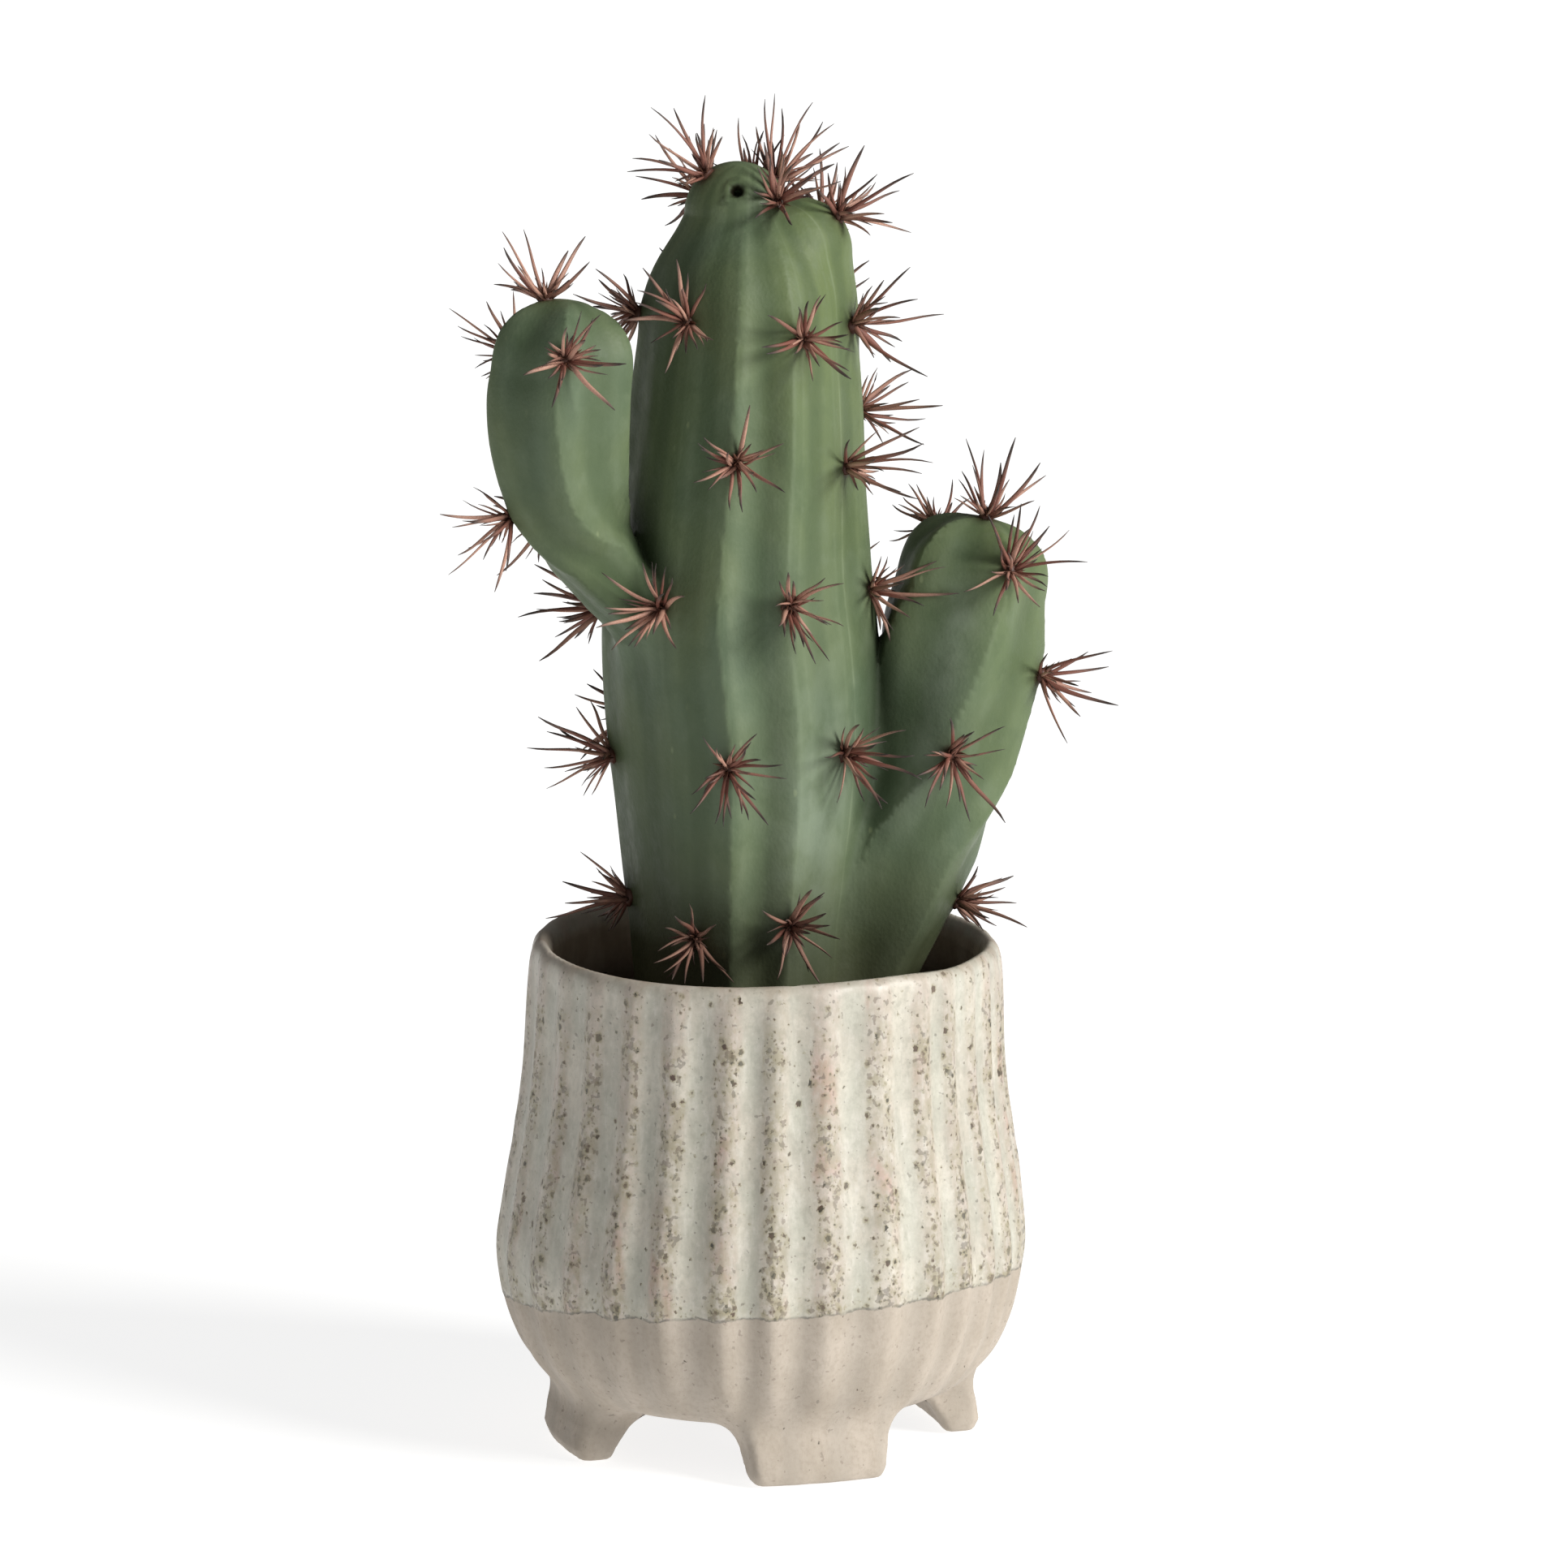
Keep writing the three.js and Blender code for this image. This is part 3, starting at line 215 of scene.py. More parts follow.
# ------------------------------------------------------------------ materials
class Nodes:
    """small shorthand for building a node tree"""

    def __init__(self, name):
        self.mat = bpy.data.materials.new(name)
        self.mat.use_nodes = True
        self.t = self.mat.node_tree
        self.t.nodes.clear()
        self.out = self.t.nodes.new("ShaderNodeOutputMaterial")
        self.bsdf = self.t.nodes.new("ShaderNodeBsdfPrincipled")
        self.t.links.new(self.bsdf.outputs[0], self.out.inputs[0])
        self.coord = self.t.nodes.new("ShaderNodeTexCoord").outputs["Object"]

    def put(self, value, socket):
        if isinstance(value, bpy.types.NodeSocket):
            self.t.links.new(value, socket)
        elif isinstance(value, (tuple, list)):
            socket.default_value = tuple(value) + ((1.0,) if len(value) == 3 and len(socket.default_value) == 4 else ())
        else:
            socket.default_value = value

    def attr(self, name):
        n = self.t.nodes.new("ShaderNodeAttribute"); n.attribute_name = name
        return n.outputs["Fac"]

    def math(self, op, a, b=0.0, c=0.0, clamp=False):
        n = self.t.nodes.new("ShaderNodeMath"); n.operation = op; n.use_clamp = clamp
        self.put(a, n.inputs[0]); self.put(b, n.inputs[1]); self.put(c, n.inputs[2])
        return n.outputs[0]

    def mul(self, a, b): return self.math("MULTIPLY", a, b)
    def add(self, a, b): return self.math("ADD", a, b)
    def sub(self, a, b): return self.math("SUBTRACT", a, b)

    def ramp(self, v, lo, hi, out_lo=0.0, out_hi=1.0, kind="SMOOTHSTEP"):
        n = self.t.nodes.new("ShaderNodeMapRange"); n.interpolation_type = kind; n.clamp = True if kind == "LINEAR" else n.clamp
        for key, val in zip(("Value", "From Min", "From Max", "To Min", "To Max"), (v, lo, hi, out_lo, out_hi)):
            self.put(val, n.inputs[key])
        return n.outputs["Result"]

    def mix(self, f, a, b, mode="MIX"):
        n = self.t.nodes.new("ShaderNodeMix"); n.data_type = "RGBA"; n.blend_type = mode; n.clamp_factor = True
        self.put(f, n.inputs[0]); self.put(a, n.inputs[6]); self.put(b, n.inputs[7])
        return n.outputs[2]

    def scaled(self, sx, sy, sz, shift=(0, 0, 0)):
        n = self.t.nodes.new("ShaderNodeMapping"); n.vector_type = "POINT"
        self.t.links.new(self.coord, n.inputs["Vector"])
        n.inputs["Scale"].default_value = (sx, sy, sz)
        n.inputs["Location"].default_value = shift
        return n.outputs[0]

    def noise(self, vec, scale=1.0, detail=3.0, rough=0.5, out=0):
        n = self.t.nodes.new("ShaderNodeTexNoise"); n.noise_dimensions = "3D"
        self.t.links.new(vec, n.inputs["Vector"])
        n.inputs["Scale"].default_value = scale; n.inputs["Detail"].default_value = detail
        n.inputs["Roughness"].default_value = rough
        return n.outputs[out]

    def voronoi(self, vec, scale=1.0, feature="F1", rand=1.0):
        n = self.t.nodes.new("ShaderNodeTexVoronoi"); n.voronoi_dimensions = "3D"; n.feature = feature
        self.t.links.new(vec, n.inputs["Vector"])
        n.inputs["Scale"].default_value = scale; n.inputs["Randomness"].default_value = rand
        return n

    def bump(self, height, strength, distance, normal=None):
        n = self.t.nodes.new("ShaderNodeBump")
        n.inputs["Strength"].default_value = strength; n.inputs["Distance"].default_value = distance
        self.put(height, n.inputs["Height"])
        if normal is not None:
            self.put(normal, n.inputs["Normal"])
        return n.outputs[0]

    def set(self, **kw):
        for k, v in kw.items():
            self.put(v, self.bsdf.inputs[k.replace("_", " ")])


def rgb(r, g, b):
    """sRGB 0-255 to linear"""
    return tuple(((c / 255 + 0.055) / 1.055) ** 2.4 if c > 10.3 else c / 255 / 12.92 for c in (r, g, b))


# bunches of spines, mm around the pot's axis: name, root on the skin, direction, tips of the long spines
BUNCHES = [
    ('top_left', (-12.7, -2.4, 303.6), (-0.61, -0.24, 0.75), [
        (-12.9, -5.6, 322), (-20.1, 4.1, 318), (-25.1, -6.4, 319.4), (-25.5, -6.1, 313.3), (-29.4, 2.8, 306.8),
        (-30.6, 2.5, 303.8), (-23.2, -14, 308.5), (-19.1, -16.5, 303.8), (-16.7, 9.2, 311.1), (-21.3, 10.9, 308.1),
    ]),
    ('crown_front', (3.8, -6.5, 297.8), (0.40, -0.63, 0.66), [
        (0.9, -9.5, 311.7), (-0.6, -17.3, 307), (2.3, -14, 309.6), (5.3, -15.6, 309), (7.1, -17.9, 307.6),
        (12.6, -15.8, 302.2), (16.6, -10.2, 306.9), (18.1, -11.2, 303.2), (12.2, -14.8, 305.5), (-1.1, -18.4, 295.8),
        (7.1, -20.4, 294.5), (5.6, -20.4, 297.2), (0, -21, 299.5),
    ]),
    ('crown_back', (3.3, 6, 301.1), (0.47, 0.38, 0.80), [
        (1, 13.5, 318.9), (3.2, 13.8, 320.1), (4.8, 12.7, 316.9), (-1, 14.7, 312.5), (11.8, 13.4, 318.2),
        (14.1, 12.5, 313.9), (16.6, 12.8, 313.4), (17.9, 11.9, 309.2), (20, 12.1, 308.4), (-1.9, 20.5, 304.3),
        (9, 12.1, 314.5), (11.9, 17.8, 306.1),
    ]),
    ('top_right', (17.9, -2.5, 294), (0.76, -0.22, 0.61), [
        (23.9, -5.7, 310.4), (26.6, 9.7, 300.2), (22.7, 9.3, 298.2), (34.9, -7.2, 304.3), (31.9, 2.5, 299.2),
        (28.3, -11.3, 295.7), (34.5, 1.6, 289.8), (30.1, -12.2, 293.8), (13.4, -13.3, 301.5), (25.4, 11.6, 295.5),
    ]),
    ('top_back', (-2, 11.8, 298.9), (0.07, 0.85, 0.52), [
        (-4, 23.7, 306.6), (-5.2, 20.3, 313.8), (8.6, 21.3, 302.2), (-10.6, 21.4, 301.1), (0.5, 13.2, 311.7),
        (5.2, 21.8, 294.9), (5.2, 11.5, 310.9), (-10.4, 24.6, 292.1), (9, 16.8, 302.4),
    ]),
    ('top_back_left', (-13.1, 10.1, 297.1), (-0.56, 0.69, 0.46), [
        (-10.5, 16.3, 311.5), (-24.4, 12.8, 310.7), (-11.5, 25.1, 306.1), (-28.9, 11, 301.6), (-22.4, 20.5, 289.1),
        (-27.6, 13.6, 296), (-15, 12, 311.3), (-16.2, 23, 292), (-11.3, 11.1, 310.8),
    ]),
    ('top_back_right', (14.1, 9.1, 292.1), (0.50, 0.71, 0.50), [
        (17.8, 16.8, 303.8), (25.5, 11.8, 299.3), (24, 18, 288.6), (9.4, 23.2, 297.5), (26.8, 6.6, 302.4),
        (18.1, 20.6, 283.8), (13.8, 13, 307.4), (16.2, 24.9, 285.6), (6.7, 18.5, 300.6),
    ]),
    ('upper_left', (-28.5, 1.4, 270.7), (-0.99, -0.04, 0.14), [
        (-38.2, -6, 281.7), (-37.9, 11.1, 277), (-43.4, -2.9, 275.6), (-32.3, 12.9, 278), (-39.2, 11, 270.9),
        (-42, 6.9, 273.5), (-35.8, 14.4, 267.5), (-34.7, 14.6, 265.4), (-34, 12.9, 263.6), (-32.1, 10.1, 261.7),
        (-33.8, 13.2, 273.3),
    ]),
    ('upper_front_left', (-17.1, -17.3, 271.2), (-0.48, -0.86, 0.17), [
        (-26.9, -24.2, 284.3), (-19.4, -23.9, 286.2), (-28.1, -27.3, 279.7), (-28.4, -30.9, 277.5), (-31.3, -25.5, 272.7),
        (-21.9, -31.3, 261.7), (-12.5, -35.8, 269.4), (-14.6, -36.6, 267.8), (-17.2, -33.5, 266.4), (-24, -31, 278),
        (-11.2, -34.7, 269.6),
    ]),
    ('upper_front_right', (9.9, -21.2, 267.7), (0.51, -0.86, 0.09), [
        (2, -32.6, 274.7), (0.7, -33.1, 267.6), (1.7, -34.9, 266.4), (19.8, -33, 270.4), (18.5, -35, 268.9),
        (20.1, -31.5, 262), (20.5, -27.8, 259.7), (12, -34, 260.1), (11, -34.4, 278.1), (13.7, -29.6, 278.7),
        (9.2, -35.3, 276.4),
    ]),
    ('upper_right', (21.2, -5, 268.7), (0.95, -0.30, 0.08), [
        (28.4, -10.6, 279.7), (34.3, -9, 282.4), (36, -9.3, 275.2), (42.1, 0.1, 270.5), (32, -15.1, 271.8),
        (32.7, 5.8, 263.5), (38.2, -13, 258.2), (30.1, 0.7, 259.5), (31.1, 5.1, 262.3), (27.6, -16.5, 274.2),
    ]),
    ('upper_back_right', (12.9, 20.8, 269.1), (0.60, 0.80, 0.09), [
        (14.7, 35.8, 271.8), (25.2, 24.6, 275.6), (14.1, 33.9, 262.1), (10.9, 34.2, 275.7), (25.1, 19.3, 280.3),
        (20.5, 22.6, 258.7), (29.4, 24.9, 269.9), (19.8, 31.8, 258.1), (12.2, 30.9, 278.3),
    ]),
    ('upper_back_left', (-12.8, 23.7, 270), (-0.39, 0.91, 0.12), [
        (-23.2, 34.8, 275.5), (-8.7, 41.6, 269.5), (-18.9, 34.7, 261.6), (-23.8, 30.2, 281.8), (-6.8, 36.8, 280.9),
        (-24.3, 29.3, 260.9), (-18.7, 28.1, 283.7), (-2.5, 35.6, 276.6), (-21.2, 28.8, 258.2),
    ]),
    ('mid_front', (-5.9, -28.3, 239.7), (0.06, -0.99, 0.09), [
        (-12.9, -39.2, 247.3), (-14.2, -39.5, 246), (-15.1, -41.2, 237.4), (-12, -39, 235.3), (-7, -40.4, 231),
        (-2.6, -32.5, 253.4), (4.9, -33.5, 245), (5.2, -37.7, 234.6), (0.5, -39.8, 244.6), (-1.7, -43.1, 239.9),
        (-13.5, -39.6, 244.6),
    ]),
    ('mid_front_right', (19.7, -11.2, 236.2), (0.92, -0.40, 0.03), [
        (36.2, -20.5, 246.6), (37.1, -21, 243), (39.3, -22, 238.8), (36.8, -21.8, 236.3), (35.9, -22.8, 230.7),
        (32.1, -25.1, 232.7), (26.3, -29.5, 240.7), (25.1, -28.1, 234.7), (28.2, -29.5, 238.1),
    ]),
    ('mid_right', (22.5, 10.7, 246), (0.95, 0.30, 0.08), [
        (35.1, 16.4, 254.7), (34.4, 15.5, 252), (36.8, 6.4, 249.4), (42, 4.9, 248.2), (38.3, 14.7, 243.7),
        (37.8, 4.2, 239.3), (30.3, 20, 250.6), (31, 20.4, 243.7),
    ]),
    ('mid_back', (-0.1, 28.6, 238), (0.14, 0.99, 0.06), [
        (-5.4, 41.9, 244.4), (9.3, 38.7, 235.7), (-3.5, 40.7, 229.9), (-1.7, 38.8, 249.9), (13.7, 36.4, 244.2),
        (-5, 35.2, 248.8), (11.3, 33.3, 247.1), (1.7, 34.5, 226.1), (6.3, 37.8, 246.8),
    ]),
    ('mid_back_left', (-27.3, 17.4, 236), (-0.80, 0.59, 0.09), [
        (-40.6, 23.4, 244.6), (-32.3, 28.1, 245.4), (-37.5, 21.9, 227.9), (-37.1, 17.8, 246.1), (-28.2, 32.4, 231.8),
        (-38.2, 15.7, 228.9), (-25.9, 29.6, 245.6), (-32.8, 23.5, 221.3), (-31.4, 30.8, 234.2),
    ]),
    ('belly_left', (-37, 0.1, 200.6), (-1.00, -0.07, -0.02), [
        (-53, 6.7, 209.6), (-51.2, 5.4, 206.3), (-53.2, 5, 203.2), (-52.5, 4.2, 199.7), (-56.4, -6.3, 199.7),
        (-48.4, 4.9, 193.1), (-51.6, -7.8, 189.9), (-44, 7.7, 192.3), (-47.1, -8.6, 199.1), (-45.1, -11.4, 204.1),
    ]),
    ('belly_front_left', (-23.2, -22.8, 204.9), (-0.50, -0.86, 0.07), [
        (-36.4, -29.7, 213.9), (-27.2, -34.9, 217), (-35.7, -35.7, 207), (-37.6, -33.5, 202.1), (-34.2, -33.9, 197.1),
        (-29.1, -38.9, 198.6), (-17.8, -37.7, 209.9), (-19.7, -36.6, 197.9), (-34.9, -33.4, 205.2), (-24.8, -41.7, 202),
        (-20.6, -37.1, 213.9),
    ]),
    ('belly_front_right', (6.7, -29.5, 206.3), (0.27, -0.96, 0.07), [
        (6.4, -40.5, 215.8), (14.6, -38.4, 214.2), (18.7, -38.5, 213), (14.3, -40.7, 209.5), (18.7, -40.5, 203.7),
        (15.6, -36.2, 195), (12.5, -39.1, 194.9), (7.8, -42.8, 200.6), (5.6, -44.3, 201.9), (8.1, -38.9, 197.1),
        (9.9, -41.3, 199.1), (4.3, -43.8, 204.3),
    ]),
    ('belly_right', (25.6, -4.4, 206.1), (0.93, -0.34, 0.17), [
        (40.6, -9, 213.2), (42.5, -9.9, 212), (45.7, -11.6, 206.3), (37.8, -12.3, 203.5), (34.5, -17.8, 201.8),
        (30.2, -7.3, 194.5), (35.6, -8.8, 203.8), (33.2, -17.1, 209.6), (28, -7.6, 197.1), (32.2, -2.4, 204.6),
    ]),
    ('belly_back_right', (14.6, 25.6, 203), (0.62, 0.78, 0.05), [
        (15.9, 40, 207.4), (27.8, 31.6, 211), (17.2, 35.1, 195), (11.9, 40.2, 206.6), (30.7, 24.9, 200.3),
        (14.3, 33.1, 213.1), (29.4, 22, 203.6), (15.3, 33, 190.3), (21.8, 38.5, 209.5),
    ]),
    ('belly_back_left', (-17.7, 29.6, 204), (-0.39, 0.92, 0.04), [
        (-25.8, 41.1, 213.7), (-13.7, 42.8, 201.9), (-27.5, 37.1, 195.3), (-26.6, 34, 212.1), (-30.7, 34.1, 195.3),
        (-8.8, 40.4, 206.6), (-25.6, 33.1, 191.5), (-15.2, 44.4, 211.7), (-19.2, 36.8, 193.5),
    ]),
    ('waist_left', (-34.9, -2.6, 165.8), (-0.98, -0.17, -0.04), [
        (-40.3, 6.2, 176.7), (-43.5, 3.3, 175.9), (-51.9, -6.9, 175.5), (-50.2, 2.7, 170.3), (-54.7, 2.7, 166.5),
        (-50.8, 1.1, 162.2), (-50, -9.3, 159.4), (-42, 4.9, 154.9), (-47.9, 2.5, 171.5), (-45.7, -14.8, 164.4),
    ]),
    ('waist_front', (-7.8, -32.1, 168.4), (-0.05, -1.00, -0.06), [
        (-10.1, -44.7, 175.5), (-16.1, -41.5, 159.8), (-10.5, -43, 157.9), (-8.6, -44.1, 157.5), (-4.5, -44.3, 160.4),
        (-3, -41.8, 158.5), (1.4, -39.2, 156.8), (4.6, -42.3, 171.2), (5.5, -36.6, 166.9), (-1.1, -39, 177.6),
        (-3.6, -45.4, 175.3), (-1.4, -45, 163.7),
    ]),
    ('waist_front_right', (19.5, -18.5, 169.2), (0.67, -0.75, -0.05), [
        (33.3, -25.6, 176), (35.2, -26.9, 170.4), (36.8, -28.6, 165.3), (29.2, -28.7, 159.8), (27.9, -30, 158.8),
        (22.8, -33.8, 178.8), (26.6, -34.8, 174.5), (26.9, -34.5, 166.4), (23.7, -35.6, 166.6), (14.9, -36.5, 171.9),
        (29.4, -32, 171.7),
    ]),
    ('waist_back', (0, 32.1, 168), (0.12, 0.99, -0.03), [
        (-5.3, 47.2, 169), (9.6, 42.2, 168.8), (-1, 41.8, 157.7), (-11.3, 44.1, 169), (14.6, 40.9, 171.7),
        (-5.7, 41.8, 155.4), (16.4, 38.1, 165.5), (1.4, 37, 156.1), (-0.6, 44.8, 174.3),
    ]),
    ('waist_back_left', (-30.2, 19.4, 172), (-0.81, 0.59, -0.03), [
        (-44.1, 21.6, 175.8), (-33.5, 31.3, 174.6), (-39.6, 25.7, 158.8), (-39.8, 21.5, 181.7), (-30.1, 34.3, 172.6),
        (-42.7, 16.6, 161.5), (-28.6, 33.7, 177), (-41.3, 23.6, 177.9), (-43, 21.1, 162.4),
    ]),
    ('base_left', (-31.3, -1.8, 131.4), (-0.99, -0.15, 0.00), [
        (-42.6, 5.6, 140.4), (-46.7, 3.1, 134), (-45.9, -6.7, 131), (-50.2, -8.8, 127.9), (-42.6, 6.5, 125.7),
        (-38.8, 10, 124.3), (-39.1, 9.1, 136), (-39.7, -12.6, 132.3),
    ]),
    ('base_front_left', (-15.3, -22.3, 126), (-0.35, -0.94, -0.04), [
        (-24.7, -35, 122.8), (-20.6, -34.7, 118.9), (-17.7, -37.3, 118.6), (-13.6, -37.8, 119), (-6.7, -30.7, 117.4),
        (-19.9, -36.9, 134), (-10.7, -35.7, 131.8), (-22.4, -37.1, 121.1), (-8.5, -34.2, 120.8),
    ]),
    ('base_front_right', (7, -26, 129.4), (0.37, -0.93, 0.01), [
        (11.7, -35.3, 139.8), (14.6, -33.6, 138.8), (14.9, -39.1, 135.2), (18.1, -35, 128.4), (13.7, -33.1, 117.6),
        (3.9, -36.7, 119.4), (1.6, -40.1, 128.2), (5.4, -39.8, 125.9), (11.4, -38.4, 130.4), (15.8, -38.2, 132.3),
    ]),
    ('base_back_right', (13.1, 22.2, 128), (0.62, 0.78, -0.05), [
        (16.1, 36, 129.1), (25.6, 25.5, 125.4), (19.4, 28.9, 117.5), (17.2, 32, 138.7), (29.7, 21.9, 128.8),
        (11.8, 33, 116.1), (8, 36.2, 131.9), (26, 20.7, 134.6), (21.5, 23.1, 112.5),
    ]),
    ('base_back_left', (-15.3, 25.6, 128), (-0.42, 0.90, -0.05), [
        (-28.5, 34.1, 127.6), (-16.2, 39.4, 135.6), (-23.1, 33.4, 117.7), (-22.9, 32.3, 137.8), (-10.1, 37.7, 135.2),
        (-12.7, 35.4, 116), (-27.3, 27.9, 134.8), (-4.3, 39, 127), (-21.2, 28.4, 114.7),
    ]),
    ('left_arm_top', (-49.9, -22.1, 276.8), (-0.16, -0.03, 0.99), [
        (-59.3, -25.6, 292.8), (-54.9, -14.7, 291.9), (-59, -25.4, 289.2), (-60.2, -27.8, 286), (-61.7, -11.7, 279.1),
        (-44.9, -16.1, 287.3), (-41.1, -14.6, 290.3), (-39.9, -26.9, 286.2), (-58, -8.1, 277.4), (-55.7, -32.7, 286.1),
        (-43.5, -8.6, 280.9),
    ]),
    ('left_arm_front', (-45, -38.6, 265.4), (0.27, -0.90, 0.33), [
        (-53.9, -46.9, 263.2), (-36.9, -44.8, 276.4), (-47.7, -48.8, 256.3), (-33.9, -43.7, 254.9), (-36.8, -49.9, 269.3),
        (-31.3, -46.7, 265.7), (-44.2, -50.9, 274.4), (-40.2, -50.4, 271.5), (-36.2, -49.9, 265.9), (-45.5, -50.7, 262.5),
        (-48.5, -52.3, 269),
    ]),
    ('left_arm_low', (-58.1, -24.4, 226.6), (-0.88, -0.23, -0.41), [
        (-73.8, -29.5, 227.9), (-70.9, -33.3, 225.6), (-69.8, -30.5, 218.8), (-71.9, -32.5, 214.7), (-64, -35.2, 218.6),
        (-61.6, -32.3, 210.8), (-59, -33.1, 215.7), (-63.6, -36.7, 223.3), (-66.7, -34.9, 226.8), (-68.1, -15.3, 217.9),
    ]),
    ('left_arm_back_left', (-57.5, -10.6, 262.8), (-0.73, 0.64, 0.24), [
        (-57.9, -4.6, 276.1), (-64, -2.7, 273.5), (-70.4, -6, 268.4), (-72.2, -8.7, 272.8), (-59.5, 6.5, 265.5),
        (-56.3, 1.9, 262), (-69.3, -15.4, 267.4), (-59.6, -0.1, 252.4), (-65.4, 0.9, 256),
    ]),
    ('left_arm_back', (-49.5, -7.8, 243), (-0.15, 0.99, -0.03), [
        (-52.4, 3.2, 250.5), (-41.6, 5.7, 238.7), (-49, 4.3, 230.2), (-40.2, 2.8, 248.3), (-57.1, -1.7, 232.6),
        (-57.2, -2.7, 251.7), (-41.8, 1.5, 255.7), (-59.3, 6.8, 244.9), (-60.3, -0.1, 248.7),
    ]),
    ('left_arm_back_low', (-49.6, -10.4, 224.2), (-0.44, 0.84, -0.31), [
        (-59.9, -0.6, 227.2), (-47.5, 4, 223.2), (-52.2, -5.4, 213), (-58.1, 1, 232.8), (-41.8, 3.8, 221.7),
        (-61.5, -10.4, 210.8), (-62.1, -7.3, 228.4), (-47.6, 2.3, 233), (-59.3, -4.2, 232.2),
    ]),
    ('right_arm_top', (53, 4, 221.3), (0.20, -0.04, 0.98), [
        (48.6, 12.2, 238.5), (47.7, 12.9, 230.9), (52.5, 1.9, 237.5), (56.3, 1.9, 234.6), (59.6, 1.1, 240.5),
        (65.2, 0.5, 234.8), (66.8, 10, 230.4), (63.8, -3.1, 226.7), (49.9, 1.3, 234.1), (58.6, 14.2, 228.8),
    ]),
    ('right_arm_front', (58.2, -9.8, 211.4), (0.48, -0.82, 0.33), [
        (60.8, -11.9, 227), (59.2, -14.1, 224.8), (65, -12.3, 226.5), (67.2, -12.5, 222), (71.6, -13.5, 221.2),
        (75.7, -15.2, 214.2), (66.7, -20, 211.7), (53.2, -15, 225), (47.8, -17.1, 207.7), (54.4, -20.6, 202.8),
        (60, -22.7, 206.1), (62.6, -17.5, 222.2), (57.1, -25.5, 209.5),
    ]),
    ('right_arm_right', (65.9, 3.6, 183.9), (0.96, -0.25, -0.10), [
        (67.4, -7.5, 191), (82.3, -1.1, 190.4), (81.8, 7.9, 185.1), (83.6, -3.8, 178.3), (75, -4.2, 175.8),
        (72.1, -4.3, 169.6), (74.4, -8.6, 183.7), (78, 9.7, 178.7), (74.3, 11.9, 175.1),
    ]),
    ('right_arm_mid', (44.7, -13.7, 168.1), (0.29, -0.95, -0.08), [
        (44.3, -21.9, 178.1), (49.6, -26.4, 175.8), (56.8, -16.1, 175.1), (39.3, -24.4, 164.5), (43.4, -23.3, 157.8),
        (48.9, -20.5, 154), (56.8, -21.8, 154), (38.7, -20.5, 157.2), (51.9, -24.1, 164.4), (46.6, -21.9, 158.8),
        (47.4, -26.7, 175.2),
    ]),
    ('right_arm_low', (46.1, 3.4, 129.4), (0.98, -0.05, -0.18), [
        (51.1, -6.7, 139.6), (59.6, 8.8, 134.1), (57.4, -3.1, 133.9), (60.3, 7.4, 128), (62.4, -4, 124.8),
        (51.9, 8.9, 121.9), (49.8, 14.5, 122), (53.7, -8.3, 127.8),
    ]),
    ('right_arm_back_left', (41.5, 15.7, 217.8), (-0.12, 0.90, 0.42), [
        (45.4, 29.3, 221), (39, 31.9, 218.8), (37.6, 28.2, 215.9), (45.4, 25.0, 227.0), (35.3, 23.6, 226.2),
        (31.6, 23.4, 221.4), (31, 27.8, 212.3), (34.1, 28.3, 222.4), (49.7, 28, 216.1),
    ]),
    ('right_arm_back', (48, 25, 192), (-0.07, 1.00, 0.03), [
        (39, 38.2, 195.6), (55.7, 39.1, 198.6), (47.9, 34.6, 183.4), (39.6, 35, 201.6), (53.3, 33.7, 201.6),
        (45.3, 32.6, 181.4), (61.8, 34.4, 186.4), (49.9, 32.5, 176.9), (38.3, 32.9, 183.8),
    ]),
    ('right_arm_back_low', (38, 20.7, 158.1), (0.13, 0.98, -0.13), [
        (35.5, 32.2, 161.4), (48.4, 30, 161.1), (36.9, 28.6, 147.4), (31.2, 31.1, 165.2), (31.2, 27.3, 146.2),
        (26.5, 28.3, 158.4), (49, 26.6, 166.7), (29.5, 35.4, 156.9), (52.8, 24.9, 159.9),
    ]),
]


# ------------------------------------------------------------------ pot
# [height, radius on the crest of the flutes]
POT_WALL = [(13.3, 42.5), (13.9, 45.5), (15.2, 48.6), (17.4, 52.2), (22.6, 56.6), (27.7, 59.2), (32.7, 61.0), (37.7, 62.2),
            (42.7, 62.95), (47.5, 63.3), (52.5, 63.0), (57.7, 62.3), (62.7, 61.6), (67.7, 60.9), (72.6, 60.0), (77.6, 59.3),
            (82.6, 58.5), (87.6, 57.9), (92.5, 57.4), (97.5, 57.1), (102.4, 56.9), (107.4, 56.7), (112.3, 56.4),
            (116.6, 55.95), (119.2, 55.2), (120.5, 54.0), (120.75, 53.2), (120.2, 52.2), (118.4, 51.3), (115.5, 50.8),
            (105, 51.1), (90, 52.3), (75, 54.6), (60, 56.8), (47, 57.8), (36, 56.6), (28, 53.6), (23.2, 49), (20.6, 43), (20, 36)]
POT_LEAN = [(13, -0.4), (50, -0.1), (65, 0.3), (100, 0.7), (121, 1.0)]
FLUTE_DEPTH = [(14, 0.1), (17, 0.6), (24, 1.3), (40, 1.7), (100, 1.7), (113, 1.3), (118.6, 0.5), (120.6, 0.15)]
FLUTE_CRESTS = np.array([2.6, 14.5, 28.9, 41.3, 50.6, 60, 69.5, 80, 91, 104.1, 115, 128.8, 139.3, 152.7, 165.7, 175.9, 189.7,
                         201.1, 214.9, 226.3, 237.5, 251.2, 263, 275, 289, 302.8, 314.8, 326.6, 337.8, 351.7])
